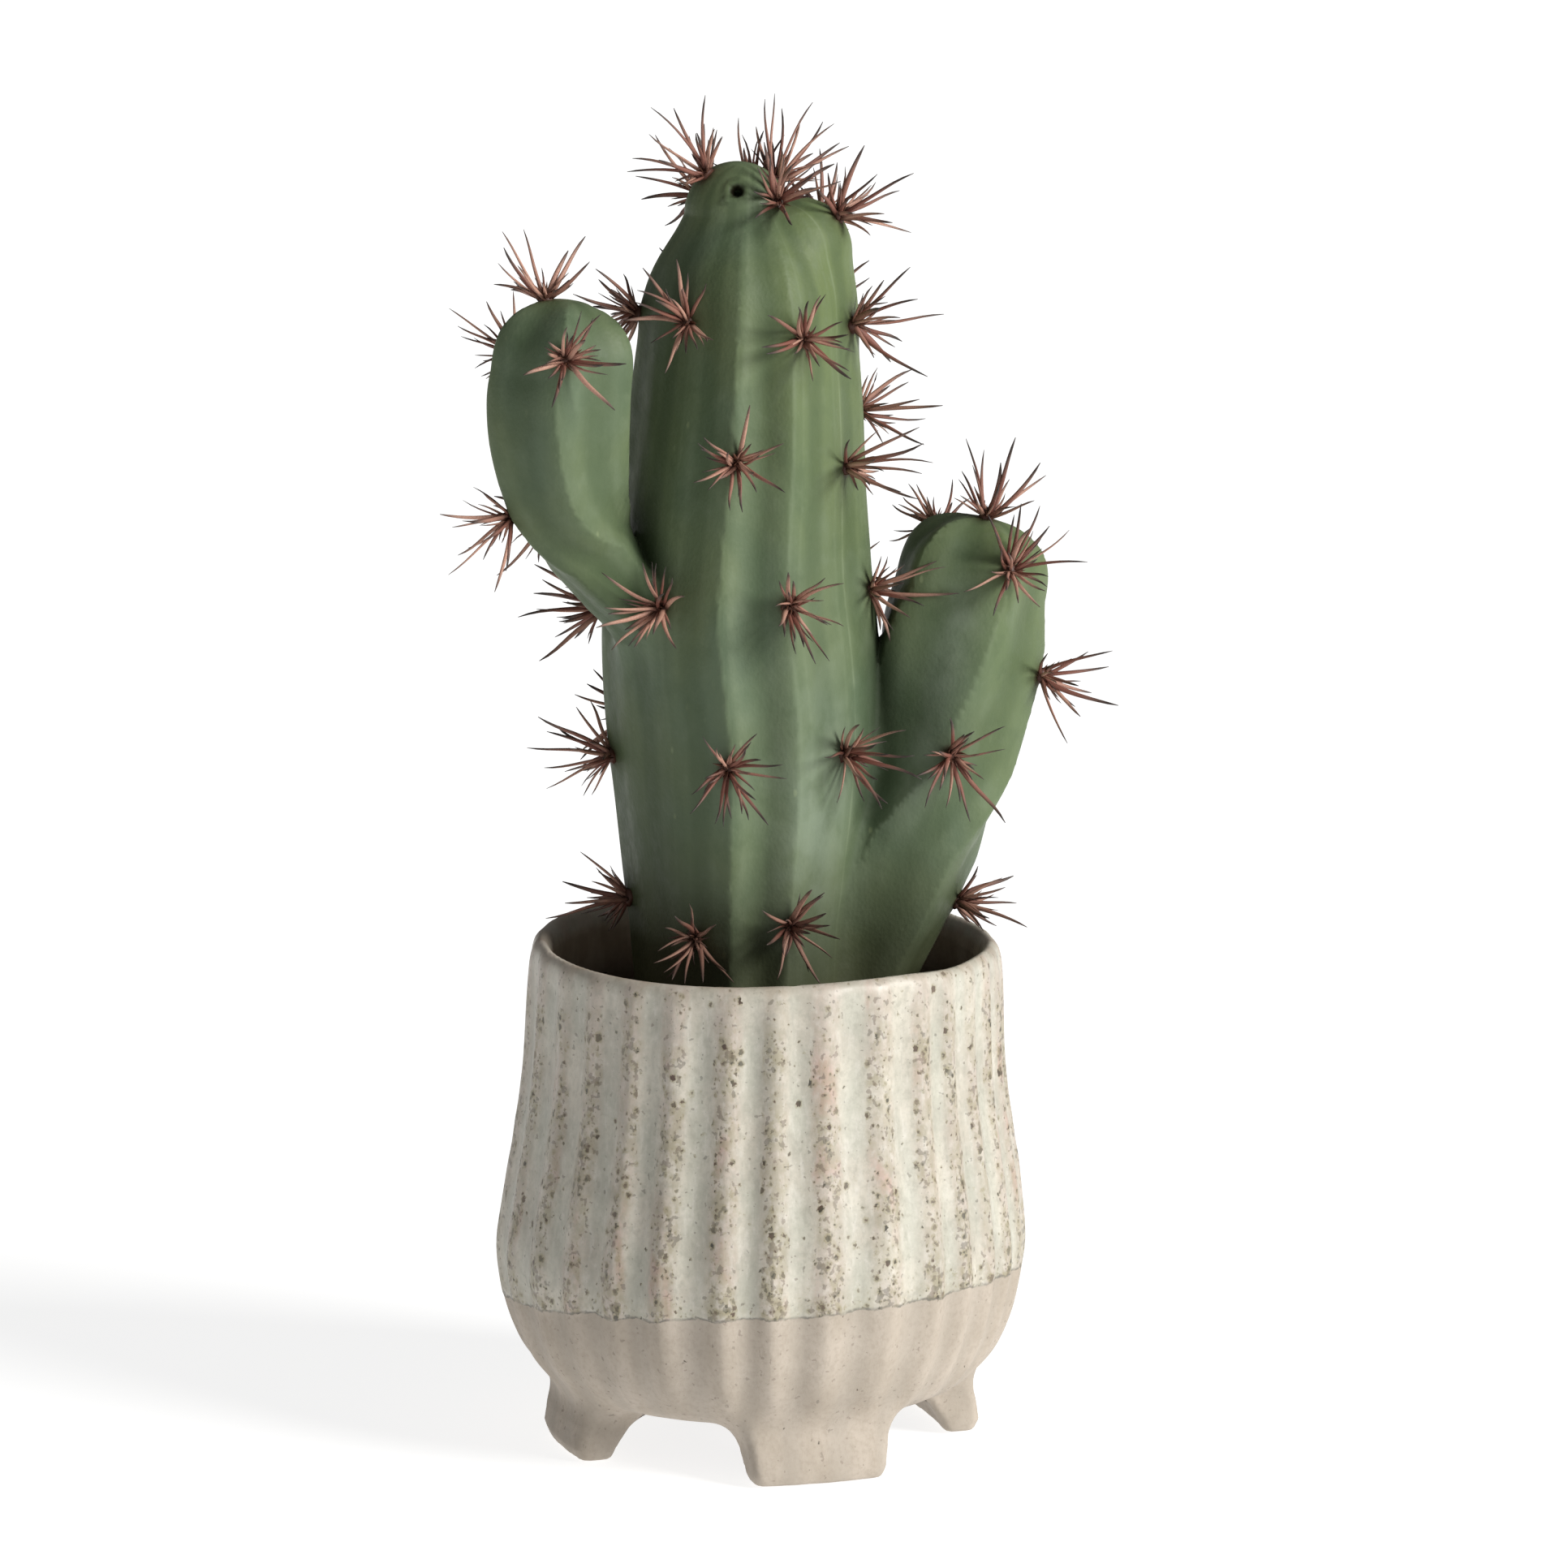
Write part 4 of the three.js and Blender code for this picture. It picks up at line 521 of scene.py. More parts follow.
GLAZE_LINE = [(-180, 43.6), (-150, 41.8), (-120, 38.5), (-88, 34.8), (-72, 37.1), (-42.5, 40.6), (-29.4, 41.4), (-14.6, 42.6),
              (-1.6, 43.4), (9.6, 43.5), (23, 44.6), (35.9, 44.6), (50.6, 45.3), (79.5, 43.2), (110, 42.0), (145, 44.2), (180, 43.6)]
FOOT_AZ = [16.6, 106.6, 196.6, 286.6]
FOOT_HALF_WIDTH = [(0, 15.6), (2.5, 16.4), (6, 16.9), (10, 17.4), (13, 18.0), (20, 18.2)]
FOOT_OUTER = [(0, 50.2), (3, 51.4), (8, 50.6), (13, 49.2), (20, 47.4)]
FOOT_INNER = [(0, 42.4), (3, 41.2), (8, 38.2), (13, 33.8), (20, 28.0)]


def look(rows, v):
    a = np.array(rows, float)
    return np.interp(v, a[:, 0], a[:, 1])


def flute(az):
    """0 on a crest, 1 in the middle of a groove, with the crests unevenly spaced; and -1..1 across each crest"""
    c = np.concatenate([[FLUTE_CRESTS[-1] - 360], FLUTE_CRESTS, [FLUTE_CRESTS[0] + 360]])
    a = np.mod(az, 360.0)
    u = np.interp(a, c, np.arange(len(c)))
    f = u - np.floor(u)
    g = np.sin(np.pi * f)
    return 0.2 * g + 0.8 * g * g, np.where(f > 0.5, f - 1, f) * 2


_prof = np.array([(r, z) for z, r in POT_WALL])
_outer = spline([(r, z) for z, r in POT_WALL[:30]], 5)
_inner = spline([(r, z) for z, r in POT_WALL[30:]], 5)
_line = np.vstack([[(0, 13.3)], _outer, _inner, [(0, 20)]])
PR = np.arange(0, 70, 0.25)
PZ = np.arange(4, 130, 0.25)


def _section():
    """signed distance to the wall's section, on a fine grid of radius and height"""
    R, Z = np.meshgrid(PR, PZ, indexing="ij")
    R, Z = R.ravel(), Z.ravel()
    best = np.full(R.shape, 1e9); inside = np.zeros(R.shape, bool)
    for (ar, az_), (br, bz) in zip(_line[:-1], _line[1:]):
        dr, dz = br - ar, bz - az_
        t = np.clip(((R - ar) * dr + (Z - az_) * dz) / max(dr * dr + dz * dz, 1e-9), 0, 1)
        best = np.minimum(best, np.hypot(R - ar - t * dr, Z - az_ - t * dz))
        cross = (az_ > Z) != (bz > Z)
        with np.errstate(divide="ignore", invalid="ignore"):
            inside ^= cross & (R < (br - ar) * (Z - az_) / (bz - az_ if bz != az_ else 1) + ar)
    return np.where(inside, -best, best).reshape(len(PR), len(PZ))


SECTION = _section()


def section(r, z):
    u = np.clip((r - PR[0]) / 0.25, 0, len(PR) - 1.001); v = np.clip((z - PZ[0]) / 0.25, 0, len(PZ) - 1.001)
    i = u.astype(int); j = v.astype(int); u = u - i; v = v - j
    d = (SECTION[i, j] * (1 - u) * (1 - v) + SECTION[i + 1, j] * u * (1 - v) + SECTION[i, j + 1] * (1 - u) * v + SECTION[i + 1, j + 1] * u * v)
    return d


def rim_wave(az):
    back = np.mod(az + 132 + 180, 360) - 180
    return 0.5 * np.cos(np.radians(3 * (az - 35))) + 0.3 * np.cos(np.radians(az - 35)) \
        + 1.7 * np.exp(-(back / 36) ** 2) - 0.8 * np.exp(-((az - 54) / 13) ** 2)


def foot(x, y, z, az):
    a = math.radians(az)
    r = x * math.sin(a) - y * math.cos(a)
    u = x * math.cos(a) + y * math.sin(a)
    zc = np.clip(z, 0, 20)
    half, outer, inner = look(FOOT_HALF_WIDTH, zc), look(FOOT_OUTER, zc), look(FOOT_INNER, zc)
    # the outer face follows the pot round, a little
    outer = outer - 0.006 * u * u
    inner = inner - 0.004 * u * u
    k = 2.2
    qx = np.abs(u) - half + k
    qy = np.abs(r - (outer + inner) / 2) - (outer - inner) / 2 + k
    side = np.hypot(np.maximum(qx, 0), np.maximum(qy, 0)) + np.minimum(np.maximum(qx, qy), 0) - k
    return smax(smax(side, -z, 1.2), z - 21.0, 1.0)


def glaze_height(x, y, z):
    az = np.degrees(np.arctan2(x, -y))
    return z - np.interp(az, [a for a, _ in GLAZE_LINE], [h for _, h in GLAZE_LINE]) - 0.55 * noise(x, y, z * 0, (5, 5, 5)) \
        - 0.25 * noise(x, y, z * 0, (1.9, 1.9, 1.9))


def pot_field(x, y, z):
    lean = look(POT_LEAN, z)
    px = x - lean
    az = np.degrees(np.arctan2(px, -y))
    rho = np.hypot(px, y)
    zz = z - rim_wave(az) * smooth(z, 108, 119)
    g, _ = flute(az)
    mid = look([(13, 40), (30, 57), (47, 60.5), (75, 57), (105, 54), (121, 53.4)], zz)
    out = smooth(rho, mid - 1.2, mid + 1.2)
    under = smooth(zz, 13.6, 18)
    wob = 0.16 * noise(x, y, z, (16, 16, 22)) + 0.07 * noise(x, y, z, (5, 5, 9))
    r2 = rho + look(FLUTE_DEPTH, zz) * g * out + wob * under
    d = section(r2, zz)
    # the coat of glaze stands a little proud of the bare clay
    hb = glaze_height(x, y, z)
    d = d - 0.16 * smooth(hb, -0.5, 0.7) * out
    near = np.abs(z - 10) < 16
    if near.any():
        f = np.full(x.shape, 50.0)
        for a in FOOT_AZ:
            f[near] = np.minimum(f[near], foot(x[near], y[near], z[near], a) + 0.10 * noise(x[near], y[near], z[near], (4, 4, 4)))
        d = smin(d, f, 6.5)
    return smax(d, -z, 0.5)


# ------------------------------------------------------------------ cactus
TRUNK = [(84, -4.0, 24.0), (100, -4.0, 25.4), (112, -4.0, 26.6), (127, -3.95, 27.9), (137, -3.85, 29.3), (152, -3.7, 31.0),
         (166, -3.9, 32.2), (181, -4.3, 33.0), (196, -4.9, 32.9), (210, -5.1, 31.5), (230, -4.4, 29.6), (249, -3.35, 27.8),
         (263, -2.95, 26.3), (270, -2.6, 25.3)]
TRUNK_LINE = spline(TRUNK, 12)
LOBE_LEFT = ((-3.0, 0.5, 270.0, 23.5), (-5.6, 1.0, 294.2, 12.2))
LOBE_RIGHT = ((3.5, 0.0, 268.0, 18.5), (8.3, 0.0, 285.3, 13.2))
RIBS, RIB_AZ = 12, -7.0
GROOVES = np.array([3.0, 0.45, 0.5, 0.9, 1.2, 1.1, 1.3, 1.2, 1.1, 0.6, 0.35, 0.4])
FLATS = [(-92.0, -7.0, 3.4), (22.0, 90.0, 2.5)]  # broad flat faces between two crests: from, to, depth in the middle
ARM_LEFT = [(-14, -5, 190, 8.0), (-23, -10, 198, 8.6), (-31.2, -14.5, 206.4, 9.3), (-37.4, -18, 214.8, 10.6), (-42.0, -20.3, 223, 12.7),
            (-45.3, -21.6, 232.5, 15.4), (-46.9, -22.2, 244, 17.1), (-47.0, -22.2, 253, 17.6), (-46.3, -22.0, 259.8, 17.3)]
ARM_RIGHT = [(12, 1, 80, 11.0), (20, 1.5, 98, 12.4), (25, 2, 115, 13.4), (29.9, 2.5, 128, 15.0), (34.8, 3, 141, 16.5),
             (39.0, 4, 154, 17.9), (42.5, 5, 167, 19.1), (44.8, 5.5, 180, 20.2), (46.6, 5.8, 193, 20.8), (48.9, 6, 204.3, 18.9)]
ARM_RIBS, ARM_GROOVE = 5, 2.6
ARM_LEFT_TWIST = [(195, 60), (217.8, 42), (221.6, 24), (225, 13), (230, 6), (240, 3), (255, 0)]
ARM_RIGHT_TWIST = [(120, -40), (144, -38), (154, -20), (165, 2), (175, 4), (183, 12), (192, 18), (200, 22), (209, 30)]
SOCKET_AT, SOCKET_AXIS, SOCKET_RADIUS = np.array([-5.5, -9.3, 301.0]), np.array([-0.02, -0.84, 0.54]), 1.5


def groove(az, ribs, first, sharp):
    """0 on a rib crest, 1 in the groove; and the signed place across the rib, -1..1, 0 on the crest"""
    u = (az - first) / (360.0 / ribs)
    f = u - np.floor(u)
    return (1 - sharp) * (0.5 - 0.5 * np.cos(2 * np.pi * f)) + sharp * np.abs(np.sin(np.pi * f)), np.where(f > 0.5, f - 1, f) * 2


def lobe(x, y, z, L):
    (ax, ay, az, ar), (bx, by, bz, br) = L
    t = np.clip((z - az) / (bz - az), 0, 1)
    return np.sqrt((x - ax - (bx - ax) * t) ** 2 + (y - ay - (by - ay) * t) ** 2 + (z - az - (bz - az) * t) ** 2) - ar - (br - ar) * t


def trunk(x, y, z, detail=True):
    zz = np.clip(z, TRUNK[0][0], TRUNK[-1][0])
    cx = np.interp(zz, TRUNK_LINE[:, 0], TRUNK_LINE[:, 1])
    R = np.interp(zz, TRUNK_LINE[:, 0], TRUNK_LINE[:, 2])
    rho = np.hypot(x - cx, y)
    d = np.sqrt(rho ** 2 + (z - zz) ** 2) - R
    d = smin(smin(d, lobe(x, y, z, LOBE_LEFT), 4.0), lobe(x, y, z, LOBE_RIGHT), 3.0)
    az = np.degrees(np.arctan2(x - cx, -y))
    az = az + 1.6 * noise(x * 0, y * 0, z, (1, 1, 34)) * 1.0
    g, s = groove(az, RIBS, RIB_AZ, 0.35)
    k = np.floor((az - RIB_AZ) / 30).astype(int) % RIBS
    fade = smooth(rho, 6, 24) * np.sqrt(smooth(z, 80, 130))
    d = d + g * GROOVES[k] * fade * (1 - 0.7 * smooth(z, 250, 284))
    for a, b, depth in FLATS:
        u = np.clip((np.mod(az + 180, 360) - 180 - a) / (b - a), 0, 1)
        d = d + depth * 4 * u * (1 - u) * fade * (1 - 0.6 * smooth(z, 262, 292))
    return d, g, s, az


def prepare(rows, twist, tip):
    S = spline(rows, 10)
    T = np.gradient(S[:, :3], axis=0)
    T /= np.linalg.norm(T, axis=1)[:, None]
    front = np.array([0, -1.0, 0]) - T * (T @ np.array([0, -1.0, 0]))[:, None]
    front /= np.linalg.norm(front, axis=1)[:, None]
    z, a = zip(*twist)
    return dict(S=S, T=T, F=front, R=np.cross(T, front), tw=np.interp(S[:, 2], z, a), tip=tip)


ARM_L = prepare(ARM_LEFT, ARM_LEFT_TWIST, (2.6, 1.02))
ARM_R = prepare(ARM_RIGHT, ARM_RIGHT_TWIST, (2.6, 1.08))
ARM_L["box"] = ((-74, -50, 178), (-4, 4, 286))
ARM_R["box"] = ((-2, -26, 66), (78, 34, 234))


def arm(x, y, z, A):
    lo, hi = A["box"]
    near = (x > lo[0]) & (x < hi[0]) & (y > lo[1]) & (y < hi[1]) & (z > lo[2]) & (z < hi[2])
    d = np.full(x.shape, 30.0); g = np.ones(x.shape); s = np.zeros(x.shape); az = np.zeros(x.shape)
    if not near.any():
        return d, g, s, az
    P = np.stack([x[near], y[near], z[near]], 1)
    S = A["S"][:, :3]
    seg = S[1:] - S[:-1]
    L2 = (seg ** 2).sum(1)
    best = np.full(len(P), 1e18); bi = np.zeros(len(P), int); bt = np.zeros(len(P))
    for i in range(len(seg)):
        v = P - S[i]
        t = np.clip((v @ seg[i]) / L2[i], 0, 1)
        v = v - t[:, None] * seg[i]
        d2 = np.einsum("ij,ij->i", v, v)
        m = d2 < best
        best[m] = d2[m]; bi[m] = i; bt[m] = t[m]
    w = bt[:, None]
    at = lambda a: a[bi] * (1 - w) + a[bi + 1] * w if a.ndim > 1 else a[bi] * (1 - bt) + a[bi + 1] * bt
    v = P - at(S)
    r = at(A["S"][:, 3]); tw = at(A["tw"])
    a = (v * at(A["R"])).sum(1); b = (v * at(A["F"])).sum(1); t = (v * at(A["T"])).sum(1)
    rad = np.hypot(a, b)
    deg = np.degrees(np.arctan2(a, b))
    gg, ss = groove(deg, ARM_RIBS, tw, 0.75)
    fade = smooth(rad / np.maximum(np.sqrt(best), 1e-6), 0.15, 0.85)
    power, flat = A["tip"]
    end = (bi == len(seg) - 1) & (bt >= 0.9999)
    ax = np.maximum(t, 0) * flat
    dist = np.where(end, (rad ** power + ax ** power) ** (1 / power), np.sqrt(best))
    d[near] = dist - r + ARM_GROOVE * gg * fade * (r / 17.0)
    g[near] = gg; s[near] = ss; az[near] = deg
    return d, g, s, az


ROOTS = np.array([b[1] for b in BUNCHES], float)


def socket_field(x, y, z):
    a = SOCKET_AXIS / np.linalg.norm(SOCKET_AXIS)
    q = np.stack([x, y, z], -1) - (SOCKET_AT - a * 4.0)
    t = np.clip(q @ a, 0, 9.0)
    return np.linalg.norm(q - t[..., None] * a, axis=-1) - SOCKET_RADIUS * (0.75 + 0.25 * smooth(t, 1.5, 4.5))


def cactus_field(x, y, z, full=False):
    t, tg, ts, taz = trunk(x, y, z)
    l, lg, ls, laz = arm(x, y, z, ARM_L)
    r, rg, rs, raz = arm(x, y, z, ARM_R)
    d = smin(t, l, 1.2 + 5.0 * (1 - smooth(z, 200, 218)))
    d = smin(d, r, 1.6 + 4.5 * (1 - smooth(z, 150, 190)))
    # a grown skin is never quite even: long soft swellings, finer along the ribs
    d = d + 0.24 * noise(x, y, z, (9, 9, 30)) + 0.06 * noise(x, y, z, (3.2, 3.2, 12))
    # the empty socket, with a raised collar
    near = (np.abs(x - SOCKET_AT[0]) < 9) & (np.abs(y - SOCKET_AT[1]) < 9) & (np.abs(z - SOCKET_AT[2]) < 9)
    if near.any():
        X, Y, Z = x[near], y[near], z[near]
        rr = np.sqrt((X - SOCKET_AT[0]) ** 2 + (Y - SOCKET_AT[1]) ** 2 + (Z - SOCKET_AT[2]) ** 2)
        v = d[near] - 0.55 * np.exp(-((rr - 2.6) / 1.0) ** 2)
        # a small torn flap of skin at its lower left edge
        v = smin(v, np.sqrt((X - SOCKET_AT[0] + 2.3) ** 2 + (Y - SOCKET_AT[1] + 0.2) ** 2 + ((Z - SOCKET_AT[2] + 2.3) * 1.5) ** 2) - 1.25, 0.8)
        d[near] = smax(v, -socket_field(X, Y, Z), 0.5)
    if not full:
        return d
    which = np.argmin(np.stack([t, l, r]), axis=0)
    pick = lambda a, b, c: np.choose(which, [a, b, c])
    return d, which, pick(tg, lg, rg), pick(ts, ls, rs), pick(taz, laz, raz), np.sort(np.stack([t, l, r]), axis=0)[1] - np.min(np.stack([t, l, r]), axis=0)


def grid(lo, hi, step):
    return np.arange(lo, hi + step, step)


pieces = []

# ---- the plant
xs, ys = grid(-68.5, 74.5, 1.12), grid(-42.5, 36.5, 1.12)
zs = grid(86.0, 310.0, 1.12)
V, F = surface(cactus_field, xs, ys, zs)
d, which, rib, side, turn, near2 = cactus_field(*V.T, full=True)
N = normals_of(cactus_field, V)
# a little woody swelling and dimple where every bunch stands
pad = np.full(len(V), 99.0)
for root in ROOTS:
    pad = np.minimum(pad, np.linalg.norm(V - root, axis=1))
V = V + N * (0.45 * np.exp(-(pad / 3.0) ** 2))[:, None]
cactus = make_object("cactus_plant", V, F, dict(
    rib=rib, side=side, turn=turn / 180.0, limb=which.astype(float), pad=pad, join=near2,
    warm=smooth(V[:, 2], 190, 290) * smooth(V[:, 0], -6, 14) * (which == 0) + 0.5 * (which == 2) * smooth(V[:, 2], 110, 190) * smooth(V[:, 0], 46, 56),
    # pale waxy bloom, and on the lower right of the trunk painted light where the right arm shades it
    bloom_and_painted_light=np.where(which == 0, np.exp(-((turn - 34) / 24) ** 2) * np.exp(-((V[:, 2] - 152) / 34) ** 2),
                   np.exp(-((V[:, 0] - np.interp(V[:, 2], [150, 205], [33, 48])) / 4.0) ** 2) * smooth(V[:, 2], 140, 165) * smooth(V[:, 2], 216, 200) * (which == 2) * 0.9),
    # painted shade over the lower part of the left arm
    arm_low_painted_shade=(which == 1) * smooth(V[:, 2], 226, 206),
    # painted shade in the creases where the arms meet the trunk
    crease_painted_shade=smooth(near2, 10, 0.5) * np.where(V[:, 0] > 0, smooth(V[:, 2], 145, 180), smooth(V[:, 2], 203, 214)),
    low=smooth(V[:, 2], 156, 106), socket=smooth(np.linalg.norm(V - (SOCKET_AT - SOCKET_AXIS * 1.2), axis=1), 2.4, 1.3)), N)
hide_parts("cactus")
pieces.append(cactus)
print("cactus", len(V), "vertices", len(F) * 2, "triangles")

# ---- the pot
xs = ys = grid(-66.5, 66.5, 1.15)
zs = np.concatenate([grid(-0.9, 24, 1.15), grid(25.6, 104, 2.0), grid(105.0, 123.5, 0.9)])
V, F = surface(pot_field, xs, ys, zs)
V[:, 2] = np.where(V[:, 2] < 0.06, 0.0, V[:, 2])
az = np.degrees(np.arctan2(V[:, 0] - look(POT_LEAN, V[:, 2]), -V[:, 1]))
g, s = flute(az)
rho = np.hypot(V[:, 0], V[:, 1])
outside = smooth(rho, look([(13, 40), (30, 57), (47, 60.5), (75, 57), (105, 54), (121, 53.4)], V[:, 2]) - 1.2,
                 look([(13, 40), (30, 57), (47, 60.5), (75, 57), (105, 54), (121, 53.4)], V[:, 2]) + 1.2)
N = normals_of(pot_field, V)
pot = make_object("fluted_pot", V, F, dict(
    flute=g, across=s, line=glaze_height(*V.T), outer=outside, turn=az / 180.0, level=V[:, 2] / 100.0), N)
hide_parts("pot")
pieces.append(pot)
print("pot", len(V), "vertices", len(F) * 2, "triangles")

# ---- the potting mix
SOIL_LINE = [(0, 20.4), (35.6, 20.4), (42.6, 21.0), (48.4, 23.5), (52.9, 28.4), (55.9, 36.3), (57.1, 47), (56.1, 60), (53.9, 75),
             (51.6, 90), (50.9, 96.4), (50.2, 97.8), (40, 98.6), (26, 99.6), (0, 100.2)]


def soil_field(x, y, z):
    lean = look(POT_LEAN, z)
    rho = np.hypot(x - lean, y)
    R = np.interp(z, [h for _, h in SOIL_LINE[1:11]], [r for r, _ in SOIL_LINE[1:11]])
    top = np.interp(rho, [0, 26, 40, 51], [100.2, 99.6, 98.6, 97.8]) - 0.4
    top = top + 0.9 * noise(x, y, z * 0, (7, 7, 7)) + 0.65 * noise(x, y, z * 0 + 3, (3, 3, 3)) + 0.3 * noise(x, y, z * 0 + 9, (1.5, 1.5, 1.5))
    d = np.maximum(np.maximum(rho - R, z - top), 20.4 - z)
    return d


def soil_with_plant(x, y, z):
    d = soil_field(x, y, z)
    near = z > 70
    c = np.full(x.shape, 50.0)
    if near.any():
        c[near] = cactus_field(x[near], y[near], z[near])
    return np.maximum(d, 0.5 - c)


xs = ys = grid(-58.5, 59.5, 1.3)
zs = np.concatenate([grid(18.5, 88, 3.2), grid(90.5, 103, 0.85)])
V, F = surface(soil_with_plant, xs, ys, zs, rounds=2)
soil_parts = [(V, F, np.zeros(len(V)))]

# crumbs of bark, grit and pale grains that lie on it
ico_v = np.array([(0, 0, 1)] + [(math.cos(a) * 0.894, math.sin(a) * 0.894, 0.447) for a in np.arange(5) * 2 * math.pi / 5]
                 + [(math.cos(a) * 0.894, math.sin(a) * 0.894, -0.447) for a in (np.arange(5) + 0.5) * 2 * math.pi / 5] + [(0, 0, -1)])
ico_f = [(0, 1 + i, 1 + (i + 1) % 5) for i in range(5)] + [(1 + i, 6 + i, 1 + (i + 1) % 5) for i in range(5)] \
    + [(1 + (i + 1) % 5, 6 + i, 6 + (i + 1) % 5) for i in range(5)] + [(11, 6 + (i + 1) % 5, 6 + i) for i in range(5)]


def refined(v, f):
    v = list(map(np.array, v)); seen = {}; out = []
    def mid(a, b):
        k = (min(a, b), max(a, b))
        if k not in seen:
            m = v[a] + v[b]; seen[k] = len(v); v.append(m / np.linalg.norm(m))
        return seen[k]
    for a, b, c in f:
        x, y, z = mid(a, b), mid(b, c), mid(c, a)
        out += [(a, x, z), (x, b, y), (z, y, c), (x, y, z)]
    return np.array(v), np.array(out)


ball_v, ball_f = refined(ico_v, ico_f)
rnd = Random(41)
for i in range(230):
    a, r = rnd(0, 2 * math.pi), 49.0 * math.sqrt(rnd(0.2, 1.0))
    x, y = r * math.sin(a) + 0.9, -r * math.cos(a)
    kind = rnd()
    size = rnd(0.7, 1.7) if kind < 0.8 else rnd(1.4, 2.6)
    q = np.array([x, y, 0.0])
    for _ in range(4):  # settle on the surface
        q[2] = 96 if q[2] == 0 else q[2]
        q[2] -= float(soil_field(q[:1], q[1:2], q[2:3])[0])
    q[2] += size * 0.15
    if float(cactus_field(q[:1], q[1:2], q[2:3])[0]) < size + 0.6 or math.hypot(x - 0.9, y) + size > 49.6:
        continue
    s = np.array([rnd(0.8, 1.3), rnd(0.6, 1.0), rnd(0.45, 0.8)]) * size
    M = np.array((Matrix.Rotation(rnd(0, 6.3), 3, "Z") @ Matrix.Rotation(rnd(-0.5, 0.5), 3, "X")))
    bump = 1 + 0.22 * noise(ball_v[:, 0] + i, ball_v[:, 1], ball_v[:, 2], (0.7, 0.7, 0.7))
    P = (ball_v * bump[:, None] * s) @ M.T + q
    soil_parts.append((P, ball_f, np.full(len(P), 0.3 if kind < 0.55 else (0.6 if kind < 0.88 else 1.0))))


def joined(parts):
    V, F, A, n = [], [], [], 0
    for v, f, *a in parts:
        V.append(v); F += [tuple(int(i) + n for i in q) for q in f]; A.append(np.stack([np.asarray(c, float) for c in a], 1)); n += len(v)
    return np.concatenate(V), F, np.concatenate(A)


V, F, A = joined(soil_parts)
soil = make_object("potting_mix", V, F, dict(grain=A[:, 0]))
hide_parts("soil")
pieces.append(soil)
print("soil", len(V), "vertices", len(F), "faces")


# ---- the bunches of spines
def frame_along(P):
    T = np.gradient(P, axis=0); T /= np.linalg.norm(T, axis=1)[:, None]
    up = np.array([0.31, 0.17, 0.93])
    A = np.cross(T, up); A /= np.linalg.norm(A, axis=1)[:, None]
    return T, A, np.cross(T, A)


def blade(start, end, width, rnd, bow=0.05, sides=6, steps=9, tone=0.5, blunt=0.36):
    """one spine: a flat tapering blade, slightly bent, closed at both ends"""
    start, end = np.array(start, float), np.array(end, float)
    D = end - start; L = np.linalg.norm(D); D /= L
    w = np.cross(D, [0.3, 0.5, 0.8]); w /= np.linalg.norm(w); u = np.cross(D, w)
    a = rnd(0, 2 * math.pi)
    B = (w * math.cos(a) + u * math.sin(a)) * L * rnd(0.3, 1.0) * bow
    kink = (w * math.sin(a) - u * math.cos(a)) * L * rnd(-0.5, 0.5) * bow
    t = np.linspace(0, 1, steps)
    P = start + D * (t * L)[:, None] + B * (4 * t * (1 - t))[:, None] + kink * (np.sin(2 * np.pi * t) * t)[:, None]
    T, A, C = frame_along(P)
    twist = rnd(0, math.pi)
    grow = rnd(0.9, 1.15)
    V, F = [], []
    for i in range(steps):
        k = t[i]
        r = width * grow * (1 - (1 - blunt) * k ** 1.9) * (0.45 if i == steps - 1 else 1.0)
        for s in range(sides):
            b = 2 * math.pi * s / sides
            x, y = math.cos(b) * r, math.sin(b) * r * 0.66
            c, q = math.cos(twist), math.sin(twist)
            V.append(P[i] + A[i] * (x * c - y * q) + C[i] * (x * q + y * c))
    for i in range(steps - 1):
        for s in range(sides):
            n = (s + 1) % sides
            F.append((i * sides + s, i * sides + n, (i + 1) * sides + n, (i + 1) * sides + s))
    F.append(tuple(reversed(range(sides))))
    F.append(tuple((steps - 1) * sides + s for s in range(sides)))
    return np.array(V), F, np.repeat(t, sides), np.full(steps * sides, tone)


def free(P, Q):
    s = np.linspace(0.3, 1, 7)[:, None]
    pts = P + (Q - P) * s
    if cactus_field(*pts.T).min() < 0.5:
        return False
    rho = np.hypot(pts[:, 0] - 0.9, pts[:, 1]); z = pts[:, 2]
    return not ((z < 121.8) & (((rho > 49.4) & (rho < 57.8)) | (z < 101.5))).any()


def fan_of(root, n, rnd):
    up = np.array([0, 0, 1.0]) if abs(n[2]) < 0.9 else np.array([1.0, 0, 0])
    a = np.cross(up, n); a /= np.linalg.norm(a)
    b = np.cross(n, a)
    return a, b


